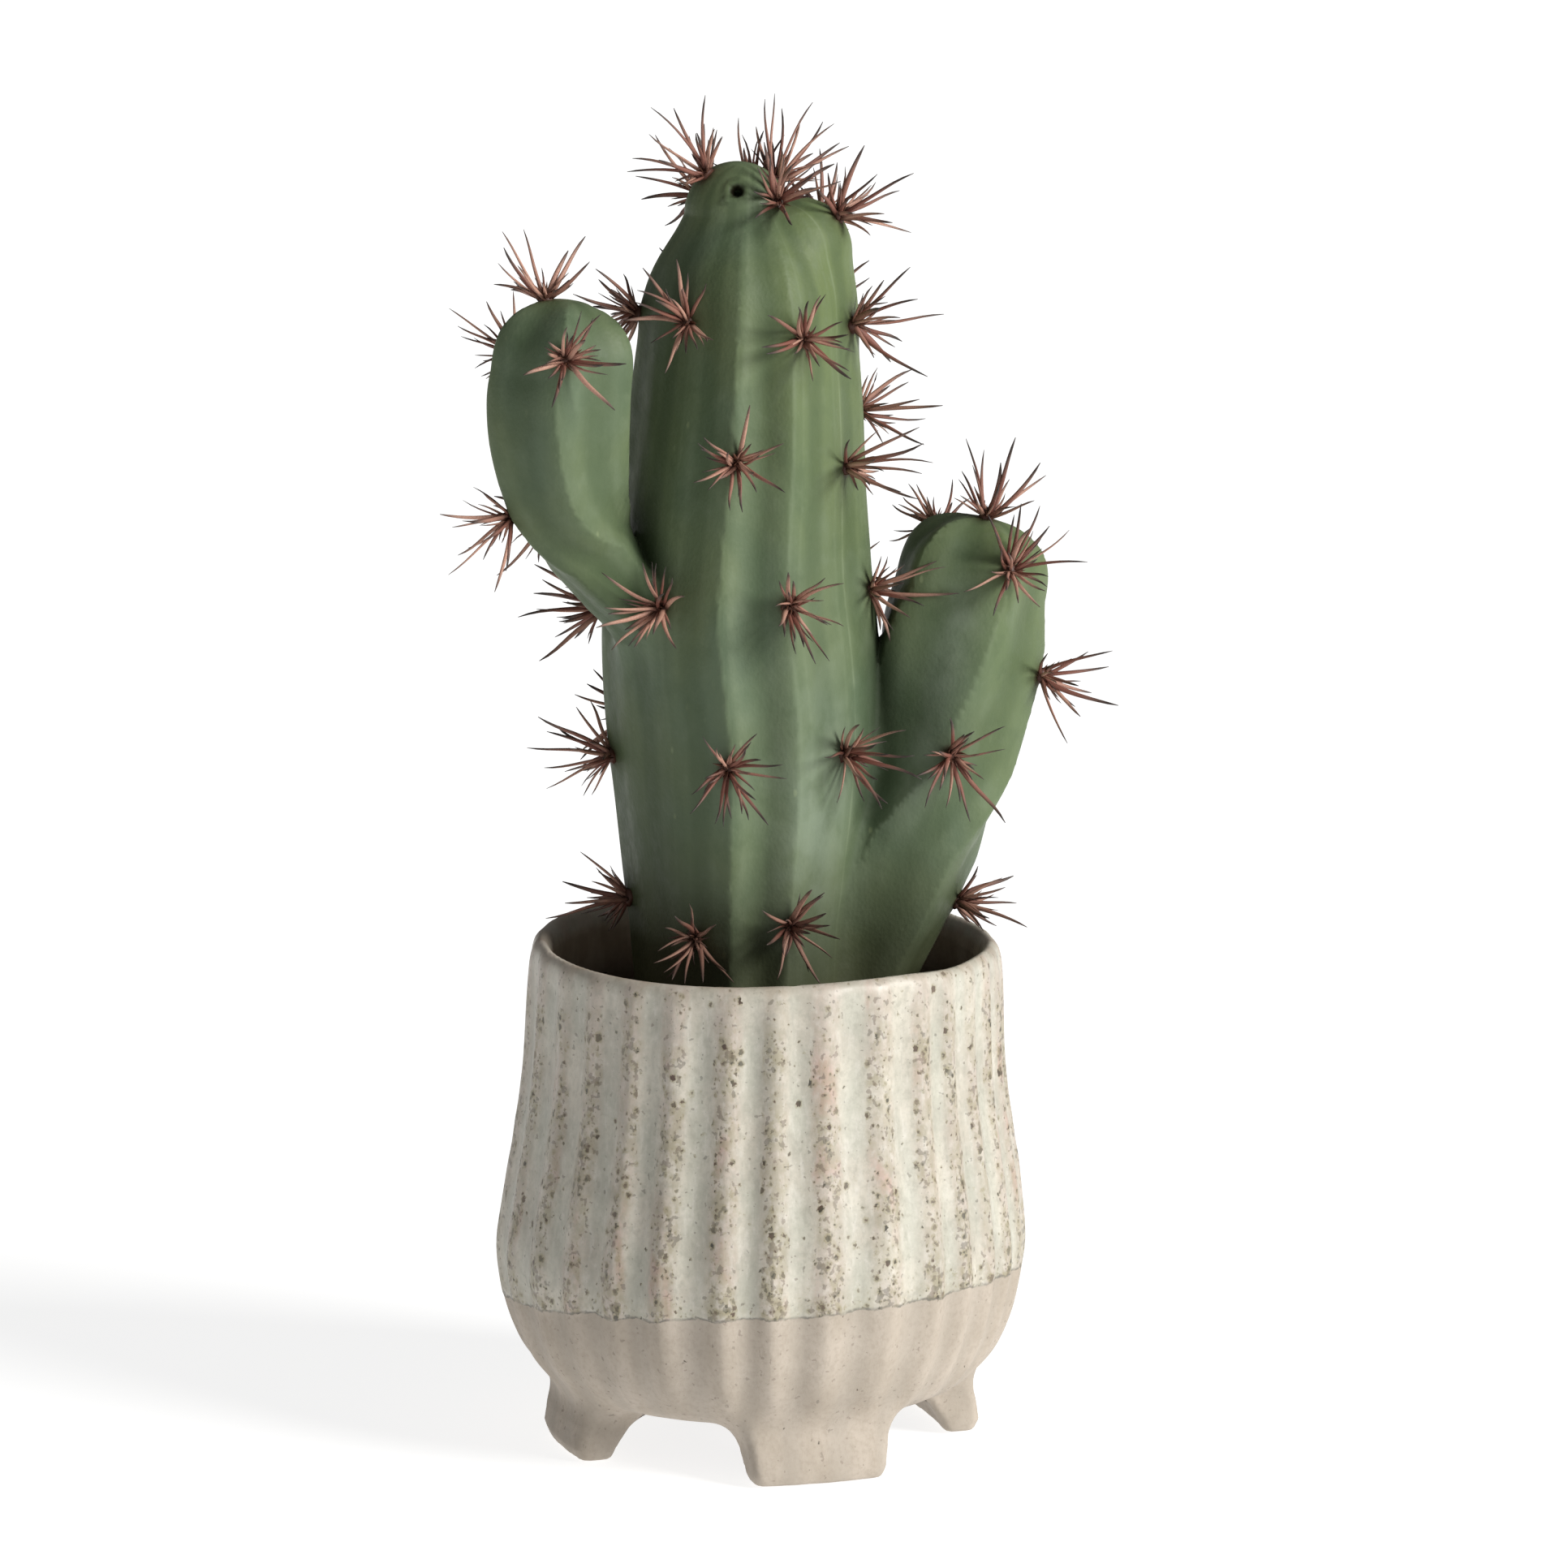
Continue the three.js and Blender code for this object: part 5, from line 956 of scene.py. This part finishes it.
for c, (name, root, direction, tips) in enumerate(BUNCHES):
    rnd = Random(5000 + 131 * c)
    root = np.array(root, float); n = np.array(direction, float); n /= np.linalg.norm(n)
    lift = float(cactus_field(root[:1], root[1:2], root[2:3])[0])
    if abs(lift) > 0.3:  # seated on the skin
        root = root - n * (lift - 0.1)
    a, b = fan_of(root, n, rnd)
    parts = []
    # the woolly, woody cushion
    bump = 1 + 0.30 * noise(ball_v[:, 0] * 2 + c, ball_v[:, 1] * 2, ball_v[:, 2] * 2, (0.8, 0.8, 0.8))
    P = root + n * 0.35 + (ball_v * bump[:, None]) @ np.stack([a * 2.0, b * 2.0, n * 1.25])
    parts.append((P, ball_f, np.full(len(P), -0.3), np.full(len(P), 0.0)))
    # long spines, as measured
    for tip in tips:
        tip = np.array(tip, float)
        spread = (tip - root) - n * ((tip - root) @ n)
        start = root + n * 0.4 + spread * min(0.9 / max(np.linalg.norm(spread), 1e-6), 0.12) + (a * rnd(-0.5, 0.5) + b * rnd(-0.5, 0.5))
        parts.append(blade(start, root + (tip - root) * 1.04, rnd(0.50, 0.70), rnd, 0.06, tone=0.15 + 0.85 * rnd() ** 1.2, blunt=0.32))
    # shorter ones between them
    made = 0
    for i in range(48):
        if made >= 14:
            break
        turn = (i + 0.8 * rnd()) * 2.399; lean = math.radians(12 + 56 * math.sqrt(rnd()))
        L = rnd(6.5, 13.0)
        D = n * math.cos(lean) + (a * math.cos(turn) + b * math.sin(turn)) * math.sin(lean)
        Q = root + D * L
        if not free(root, Q):
            continue
        start = root + n * 0.4 + (a * rnd(-0.8, 0.8) + b * rnd(-0.8, 0.8))
        parts.append(blade(start, Q, rnd(0.38, 0.56), rnd, 0.07, steps=7, tone=0.15 + 0.85 * rnd() ** 1.5, blunt=0.30))
        made += 1
    # stiff short bristles in the cushion
    for i in range(12):
        turn = i * 2.399 + rnd(-0.3, 0.3); lean = math.radians(rnd(15, 62))
        D = n * math.cos(lean) + (a * math.cos(turn) + b * math.sin(turn)) * math.sin(lean)
        start = root + n * 0.3 + D * 0.6 + (a * rnd(-0.6, 0.6) + b * rnd(-0.6, 0.6))
        parts.append(blade(start, start + D * rnd(2.0, 4.2), rnd(0.26, 0.42), rnd, 0.06, sides=5, steps=4, tone=-0.5, blunt=0.3))
    V, F, A = joined(parts)
    o = make_object("bunch_" + name, V, F, dict(along=A[:, 0], tone=A[:, 1]))
    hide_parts("spines_" + name)
    pieces.append(o)
print("bunches", sum(len(p.data.polygons) for p in pieces[3:]), "faces")

for p in pieces:
    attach(p, "root")


# ------------------------------------------------------------------ tone and light
POT_GAIN = (0.706, 0.708, 0.714)
CACTUS_GAIN = (0.70, 0.70, 0.69)
SPINE_GAIN = (0.80, 0.80, 0.80)
FLOOR_GLOW, FILL = 0.82, 0.14
KEY = (60, 25, 4.0, 24, (1.0, 0.99, 0.965))  # azimuth from the front, elevation, strength, width, colour


# ------------------------------------------------------------------ finishes
def mm(*s):
    return tuple(1000.0 / v for v in s)


# glazed and bare clay
k = Nodes("pot_glaze_and_clay")
flute_a, across, line, outer, level = (k.attr(n) for n in ("flute", "across", "line", "outer", "level"))
fine = k.noise(k.scaled(*mm(1.1, 1.1, 1.3)), 1, 3, 0.6)
edge = k.add(line, k.mul(k.sub(k.noise(k.scaled(*mm(1.6, 1.6, 1.6)), 1, 3, 0.6), 0.5), 1.3))
glazed = k.ramp(edge, -0.25, 0.25)
wander = k.sub(k.noise(k.scaled(*mm(3.2, 3.2, 6.0), shift=(6, 4, 1)), 1, 3, 0.6), 0.5)
crest = k.ramp(k.add(flute_a, k.mul(wander, 0.9)), 0.74, 0.26)
valley = k.ramp(flute_a, 0.35, 1.0)
streak = k.noise(k.scaled(*mm(1.7, 1.7, 13)), 1, 4, 0.6)
patch = k.noise(k.scaled(*mm(8, 8, 15)), 1, 3, 0.55)
patch2 = k.noise(k.scaled(*mm(13, 13, 17), shift=(3, 1, 7)), 1, 2, 0.5)
cream = k.mix(k.ramp(patch, 0.34, 0.66), rgb(204, 196, 180), rgb(228, 220, 203))
cream = k.mix(k.mul(valley, k.ramp(patch2, 0.34, 0.64, 0.05, 0.50)), cream, rgb(198, 202, 186))
cream = k.mix(k.mul(crest, k.ramp(patch2, 0.66, 0.44, 0.05, 0.55)), cream, rgb(212, 194, 181))
cream = k.mix(k.mul(crest, k.ramp(k.noise(k.scaled(*mm(10, 10, 21), shift=(8, 8, 2)), 1, 2, 0.5), 0.58, 0.70, 0.0, 0.55)), cream, rgb(208, 164, 148))
cream = k.mix(k.ramp(streak, 0.52, 0.72, 0.0, 0.45), cream, rgb(236, 231, 219))
cream = k.mix(k.ramp(streak, 0.46, 0.28, 0.0, 0.35), cream, rgb(184, 180, 166))
mott = k.noise(k.scaled(*mm(2.3, 2.3, 3.0), shift=(2, 7, 7)), 1, 4, 0.66)
cream = k.mix(k.ramp(mott, 0.50, 0.68, 0.0, 0.42), cream, rgb(176, 172, 156))
cream = k.mix(k.ramp(mott, 0.47, 0.30, 0.0, 0.40), cream, rgb(238, 232, 220))
cream = k.mix(k.ramp(fine, 0.42, 0.70, 0.0, 0.28), cream, rgb(180, 177, 162))
clay = k.mix(k.ramp(patch, 0.3, 0.7), rgb(193, 180, 163), rgb(209, 196, 180))
clay = k.mix(k.ramp(fine, 0.42, 0.72, 0.0, 0.38), clay, rgb(174, 160, 143))
clay = k.mix(k.mul(valley, 0.30), clay, rgb(182, 173, 160))


def specks(size, lo, hi, chance, seed):
    """irregular dark dots, a dot in some of the cells, about size mm apart"""
    wob = k.t.nodes.new("ShaderNodeVectorMath"); wob.operation = "MULTIPLY_ADD"
    k.t.links.new(k.noise(k.scaled(*mm(0.8, 0.8, 0.8)), 1, 3, 0.65, out=1), wob.inputs[0])
    wob.inputs[1].default_value = (0.0013,) * 3
    k.t.links.new(k.coord, wob.inputs[2])
    m = k.t.nodes.new("ShaderNodeMapping"); k.t.links.new(wob.outputs[0], m.inputs["Vector"])
    m.inputs["Scale"].default_value = mm(size, size, size * 1.2); m.inputs["Location"].default_value = seed
    v = k.voronoi(m.outputs[0])
    sep = k.t.nodes.new("ShaderNodeSeparateColor"); k.t.links.new(v.outputs["Color"], sep.inputs[0])
    radius = k.ramp(sep.outputs[1], 0, 1, lo / size, hi / size, "LINEAR")
    there = k.math("LESS_THAN", sep.outputs[0], chance)
    dot = k.ramp(k.sub(v.outputs["Distance"], radius), 0.0, -0.10)
    halo = k.mul(k.ramp(k.sub(v.outputs["Distance"], radius), 0.20, -0.02), there)
    return k.mul(dot, there), sep.outputs[2], halo


band = crest
cluster = k.ramp(k.noise(k.scaled(*mm(7, 7, 11), shift=(1, 5, 2)), 1, 2, 0.5), 0.36, 0.62)
near_line = k.mul(k.ramp(line, 9.0, 0.5), k.ramp(line, -0.4, 0.2))
upper = k.ramp(level, 1.15, 1.05, 0.35, 1.0)
much = k.mul(k.add(k.mul(k.mul(band, k.ramp(cluster, 0, 1, 0.50, 1.0, "LINEAR")), upper), k.mul(near_line, 0.42)), k.mul(outer, glazed))
n1 = k.noise(k.scaled(*mm(1.5, 1.5, 1.6)), 1, 1.8, 0.55)
limit = k.sub(k.ramp(cluster, 0, 1, 0.680, 0.655, "LINEAR"), k.mul(much, 0.125))
dash = k.ramp(k.sub(n1, limit), 0.0, 0.045)
big, tone1, halo1 = specks(2.25, 0.42, 0.88, k.add(k.mul(much, 0.55), k.mul(k.mul(outer, glazed), 0.02)), (2, 3, 4))
small, tone2, halo2 = specks(1.15, 0.20, 0.42, k.add(k.mul(much, 0.55), k.add(0.015, k.mul(k.mul(outer, glazed), 0.015))), (7, 1, 5))
ink = k.noise(k.scaled(*mm(2.6, 2.6, 3.4), shift=(5, 1, 9)), 1, 2, 0.5)
dark = k.mix(k.ramp(ink, 0.35, 0.65), rgb(62, 60, 36), rgb(88, 62, 48))
dark = k.mix(k.ramp(ink, 0.48, 0.36), dark, rgb(34, 32, 24))
# a stain around the clusters
base = k.mix(k.mul(much, k.ramp(k.noise(k.scaled(*mm(2.6, 2.6, 3.4)), 1, 3, 0.6), 0.38, 0.60, 0.0, 0.62)), k.mix(glazed, clay, cream), rgb(170, 160, 128))
base = k.mix(k.mul(k.mul(k.math("MAXIMUM", halo1, k.mul(halo2, 0.7)), 0.50), k.mul(outer, glazed)), base, rgb(156, 146, 104))
base = k.mix(k.mul(dash, k.mul(outer, k.ramp(glazed, 0, 1, 0.30, 0.42, "LINEAR"))), base, dark)
base = k.mix(k.mul(big, k.ramp(tone1, 0, 1, 0.40, 0.98, "LINEAR")), base, dark)
base = k.mix(k.mul(small, k.ramp(tone2, 0, 1, 0.35, 0.85, "LINEAR")), base, dark)
rim_line = k.mul(k.ramp(edge, -0.25, 0.0), k.ramp(edge, 0.75, 0.15))
base = k.mix(k.mul(rim_line, k.ramp(k.noise(k.scaled(*mm(3, 3, 3)), 1, 3, 0.6), 0.3, 0.65, 0.25, 0.85)), base, rgb(118, 113, 102))
# the lip, rubbed thin, and the bare wall inside, with painted shade deepening down the inside wall
lip = k.mul(k.ramp(level, 1.180, 1.203), k.ramp(outer, 0.9, 0.2, 0.35, 1.0))
base = k.mix(k.mul(lip, 0.65), base, k.mix(k.ramp(patch2, 0.42, 0.58), rgb(232, 219, 203), rgb(196, 174, 152)))
inner = k.mul(k.ramp(outer, 0.6, 0.2), k.ramp(level, 1.198, 1.165))
wall = k.mix(k.ramp(patch, 0.35, 0.65), rgb(190, 168, 144), rgb(218, 200, 178))
# painted shade: the inside wall darkens with depth below the rim
wall = k.mix(k.ramp(level, 1.14, 1.02, 0.0, 0.9), wall, rgb(86, 68, 50))
base = k.mix(inner, base, wall)
base = k.mix(1.0, base, POT_GAIN, "MULTIPLY")
k.set(Base_Color=base, Roughness=k.mix(glazed, (0.82,) * 3, k.ramp(streak, 0.3, 0.7, 0.42, 0.54)), Specular_IOR_Level=0.7)
h = k.add(k.mul(k.noise(k.scaled(*mm(2.2, 2.2, 4)), 1, 3, 0.5), k.mul(glazed, 0.7)), k.mul(fine, k.ramp(glazed, 0, 1, 0.9, 0.25, "LINEAR")))
h = k.sub(h, k.mul(big, 0.45))
k.set(Normal=k.bump(h, 0.6, 0.00016))
pot.data.materials.append(k.mat)

# skin of the plant
k = Nodes("cactus_skin")
rib, side, pad, limb, join = (k.attr(n) for n in ("rib", "side", "pad", "limb", "join"))
big_n = k.noise(k.scaled(*mm(26, 26, 40)), 1, 2, 0.5)
stripe = k.noise(k.scaled(*mm(1.9, 1.9, 46)), 1, 3, 0.55)
stripe2 = k.noise(k.scaled(*mm(4.8, 4.8, 60), shift=(4, 2, 0)), 1, 2, 0.5)
mottle = k.noise(k.scaled(*mm(3.0, 3.0, 4.0)), 1, 4, 0.6)
soft = k.noise(k.scaled(*mm(7, 7, 9), shift=(2, 2, 2)), 1, 3, 0.5)
pores = k.voronoi(k.scaled(*mm(0.9, 0.9, 1.1)))
green = k.mix(k.ramp(big_n, 0.35, 0.65), rgb(104, 122, 96), rgb(112, 127, 92))
green = k.mix(k.mul(k.attr("warm"), 0.8), green, rgb(118, 134, 84))
green = k.mix(k.ramp(stripe2, 0.38, 0.70, 0.0, 0.10), green, rgb(124, 139, 112))
green = k.mix(k.ramp(stripe, 0.45, 0.75, 0.0, 0.12), green, rgb(86, 103, 76))
green = k.mix(k.ramp(soft, 0.50, 0.75, 0.0, 0.35), green, rgb(128, 143, 116))
green = k.mix(k.ramp(soft, 0.48, 0.28, 0.0, 0.30), green, rgb(88, 106, 76))
green = k.mix(k.ramp(mottle, 0.5, 0.75, 0.0, 0.20), green, rgb(134, 148, 118))
# painted highlight along the rib crests and painted shade down the rib grooves
green = k.mix(k.ramp(rib, 0.10, 0.0, 0.0, 0.16), green, rgb(138, 152, 122))
green = k.mix(k.ramp(rib, 0.55, 1.0, 0.0, 0.40), green, rgb(74, 92, 62))
flecks = k.voronoi(k.scaled(*mm(4.2, 4.2, 8.0), shift=(3, 3, 1)))
sep = k.t.nodes.new("ShaderNodeSeparateColor"); k.t.links.new(flecks.outputs["Color"], sep.inputs[0])
fl = k.mul(k.ramp(flecks.outputs["Distance"], 0.16, 0.06), k.mul(k.math("GREATER_THAN", sep.outputs[0], 0.72), k.ramp(rib, 0.45, 0.1, 0.1, 0.8)))
green = k.mix(k.mul(fl, 0.55), green, rgb(172, 184, 140))
cork = k.ramp(k.add(pad, k.mul(k.sub(mottle, 0.5), 2.0)), 3.3, 1.8)
green = k.mix(k.mul(cork, 0.85), green, rgb(84, 68, 48))
green = k.mix(k.mul(k.ramp(pad, 6.0, 3.0), 0.30), green, rgb(92, 98, 70))
turn = k.mul(k.attr("turn"), 180.0)
trunk_only = k.ramp(limb, 0.4, 0.1)
# pale narrow lines along three rib crests of the trunk: painted highlights
for at, wide, much_ in ((29.0, 1.6, 0.12), (60.0, 1.5, 0.30), (-2.0, 3.5, 0.20)):
    painted_ridge_highlight = k.mul(k.ramp(k.math("ABSOLUTE", k.sub(turn, at)), wide, 0.0), k.mul(trunk_only, k.ramp(soft, 0.35, 0.6, 0.3, 1.0)))
    green = k.mix(k.mul(painted_ridge_highlight, much_), green, rgb(158, 172, 140))
# pale bluish waxy bloom down the right arm; on the lower right of the trunk it is partly painted light where the right
# arm shades it
green = k.mix(k.mul(k.attr("bloom_and_painted_light"), k.ramp(soft, 0.30, 0.62, 0.24, 0.58)), green, rgb(150, 164, 144))
place = k.t.nodes.new("ShaderNodeSeparateXYZ"); k.t.links.new(k.coord, place.inputs[0])
# painted shade on the lower left of the trunk, the side turned away from the key light
green = k.mix(k.mul(k.mul(k.ramp(turn, -8, -50), trunk_only), k.ramp(place.outputs[2], 0.200, 0.145, 0.0, 0.62)), green, rgb(62, 76, 54))
# painted shade over the lower part of the left arm
green = k.mix(k.mul(k.attr("arm_low_painted_shade"), 0.50), green, rgb(70, 88, 58))
# painted shade in the creases where the arms meet the trunk
green = k.mix(k.mul(k.attr("crease_painted_shade"), 0.75), green, rgb(40, 52, 30))
green = k.mix(k.mul(k.attr("low"), 0.85), green, rgb(66, 66, 46))
green = k.mix(k.attr("socket"), green, rgb(34, 30, 18))
green = k.mix(1.0, green, CACTUS_GAIN, "MULTIPLY")
k.set(Base_Color=green, Roughness=k.ramp(mottle, 0.3, 0.75, 0.46, 0.60), Specular_IOR_Level=0.20)
h = k.add(k.mul(mottle, 0.6), k.add(k.mul(stripe, 0.2), k.add(k.mul(soft, 1.6), k.mul(pores.outputs["Distance"], 0.35))))
k.set(Normal=k.bump(h, 0.5, 0.00022))
cactus.data.materials.append(k.mat)

# spines
k = Nodes("spine_horn")
along, tone = k.attr("along"), k.attr("tone")
grain = k.noise(k.scaled(*mm(0.35, 0.35, 0.6)), 1, 3, 0.6)
col = k.mix(k.ramp(tone, 0.2, 1.0), rgb(136, 86, 74), rgb(206, 160, 140))
col = k.mix(k.ramp(grain, 0.38, 0.7, 0.0, 0.30), col, rgb(128, 88, 70))
worn = k.add(along, k.mul(k.sub(tone, 0.5), -0.22))
col = k.mix(k.ramp(worn, 0.44, 0.82, 0.0, 0.62), col, rgb(126, 104, 94))
col = k.mix(k.ramp(worn, 0.62, 0.96, 0.0, 0.95), col, rgb(62, 55, 52))
col = k.mix(k.ramp(along, 0.30, 0.0, 0.0, 0.9), col, rgb(66, 34, 24))
col = k.mix(k.ramp(tone, 0.05, -0.1), col, k.mix(grain, rgb(56, 32, 24), rgb(118, 78, 58)))
place = k.t.nodes.new("ShaderNodeSeparateXYZ"); k.t.links.new(k.coord, place.inputs[0])
# painted shade on the spines of the lowest bunches, darker below about 146 mm
col = k.mix(k.ramp(place.outputs[2], 0.146, 0.116, 0.0, 0.62), col, rgb(78, 54, 44))
col = k.mix(1.0, col, SPINE_GAIN, "MULTIPLY")
k.set(Base_Color=col, Roughness=k.ramp(grain, 0.3, 0.7, 0.45, 0.65), Specular_IOR_Level=0.35)
k.set(Normal=k.bump(grain, 0.4, 0.00008))
for p in pieces[3:]:
    p.data.materials.append(k.mat)

# potting mix
k = Nodes("potting_mix")
grain = k.attr("grain")
n1 = k.noise(k.scaled(*mm(1.2, 1.2, 1.2)), 1, 5, 0.65)
n2 = k.noise(k.scaled(*mm(5, 5, 5)), 1, 3, 0.5)
col = k.mix(k.ramp(n1, 0.35, 0.7), rgb(34, 27, 20), rgb(72, 56, 42))
col = k.mix(k.ramp(n2, 0.4, 0.7, 0.0, 0.4), col, rgb(52, 44, 35))
col = k.mix(k.ramp(grain, 0.2, 0.35), col, k.mix(n1, rgb(58, 40, 28), rgb(98, 74, 52)))
col = k.mix(k.ramp(grain, 0.5, 0.65), col, k.mix(n1, rgb(76, 70, 62), rgb(106, 98, 88)))
col = k.mix(k.ramp(grain, 0.85, 0.95), col, k.mix(n1, rgb(158, 150, 136), rgb(186, 180, 168)))
k.set(Base_Color=col, Roughness=k.ramp(n1, 0.3, 0.7, 0.85, 0.98), Specular_IOR_Level=0.3)
k.set(Normal=k.bump(n1, 0.7, 0.0006))
soil.data.materials.append(k.mat)

# ------------------------------------------------------------------ floor, light, camera
bpy.ops.mesh.primitive_circle_add(vertices=64, radius=14.0, fill_type="NGON", location=(0, 0, -0.0004))
floor = bpy.context.object
floor.name = "floor"
k = Nodes("floor")
n1 = k.noise(k.scaled(9, 9, 9), 1, 3, 0.5)
k.set(Base_Color=k.mix(n1, (0.44, 0.44, 0.438), (0.46, 0.46, 0.458)), Roughness=0.9, Specular_IOR_Level=0.1,
      Emission_Color=(1.0, 1.0, 1.0), Emission_Strength=FLOOR_GLOW)
floor.data.materials.append(k.mat)
floor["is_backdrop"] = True

world = bpy.data.worlds.new("studio")
bpy.context.scene.world = world
world.use_nodes = True
world.node_tree.nodes["Background"].inputs[0].default_value = (1.0, 1.0, 1.0, 1.0)
world.node_tree.nodes["Background"].inputs[1].default_value = FILL


def sun(name, az, elevation, strength, angle, color=(1, 1, 1)):
    l = bpy.data.lights.new(name, "SUN")
    l.energy, l.angle, l.color = strength, math.radians(angle), color
    o = bpy.data.objects.new(name, l)
    a, e = math.radians(az), math.radians(elevation)
    d = Vector((math.sin(a) * math.cos(e), -math.cos(a) * math.cos(e), math.sin(e)))
    o.rotation_euler = d.to_track_quat("Z", "Y").to_euler()
    o.location = d * 3
    bpy.context.scene.collection.objects.link(o)
    return o


sun("key", *KEY)

cam = bpy.data.cameras.new("camera")
cam.sensor_width = 36.0
cam.sensor_fit = "HORIZONTAL"
cam.lens = 10544.47 / 1932 * 36.0
cam.clip_start, cam.clip_end = 0.05, 60
eye = bpy.data.objects.new("camera", cam)
eye.location = (0.0005, -1.990, 0.548)
eye.rotation_euler = (math.pi / 2 - 0.193344, 0, 0)
bpy.context.scene.collection.objects.link(eye)
bpy.context.scene.camera = eye
bpy.context.scene.view_settings.view_transform = "Standard"
bpy.context.scene.view_settings.look = "None"

size = {"cad": [list(map(float, c)) for c in cad_box], "visual": [list(map(float, c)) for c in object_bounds()]}
print("size", size)
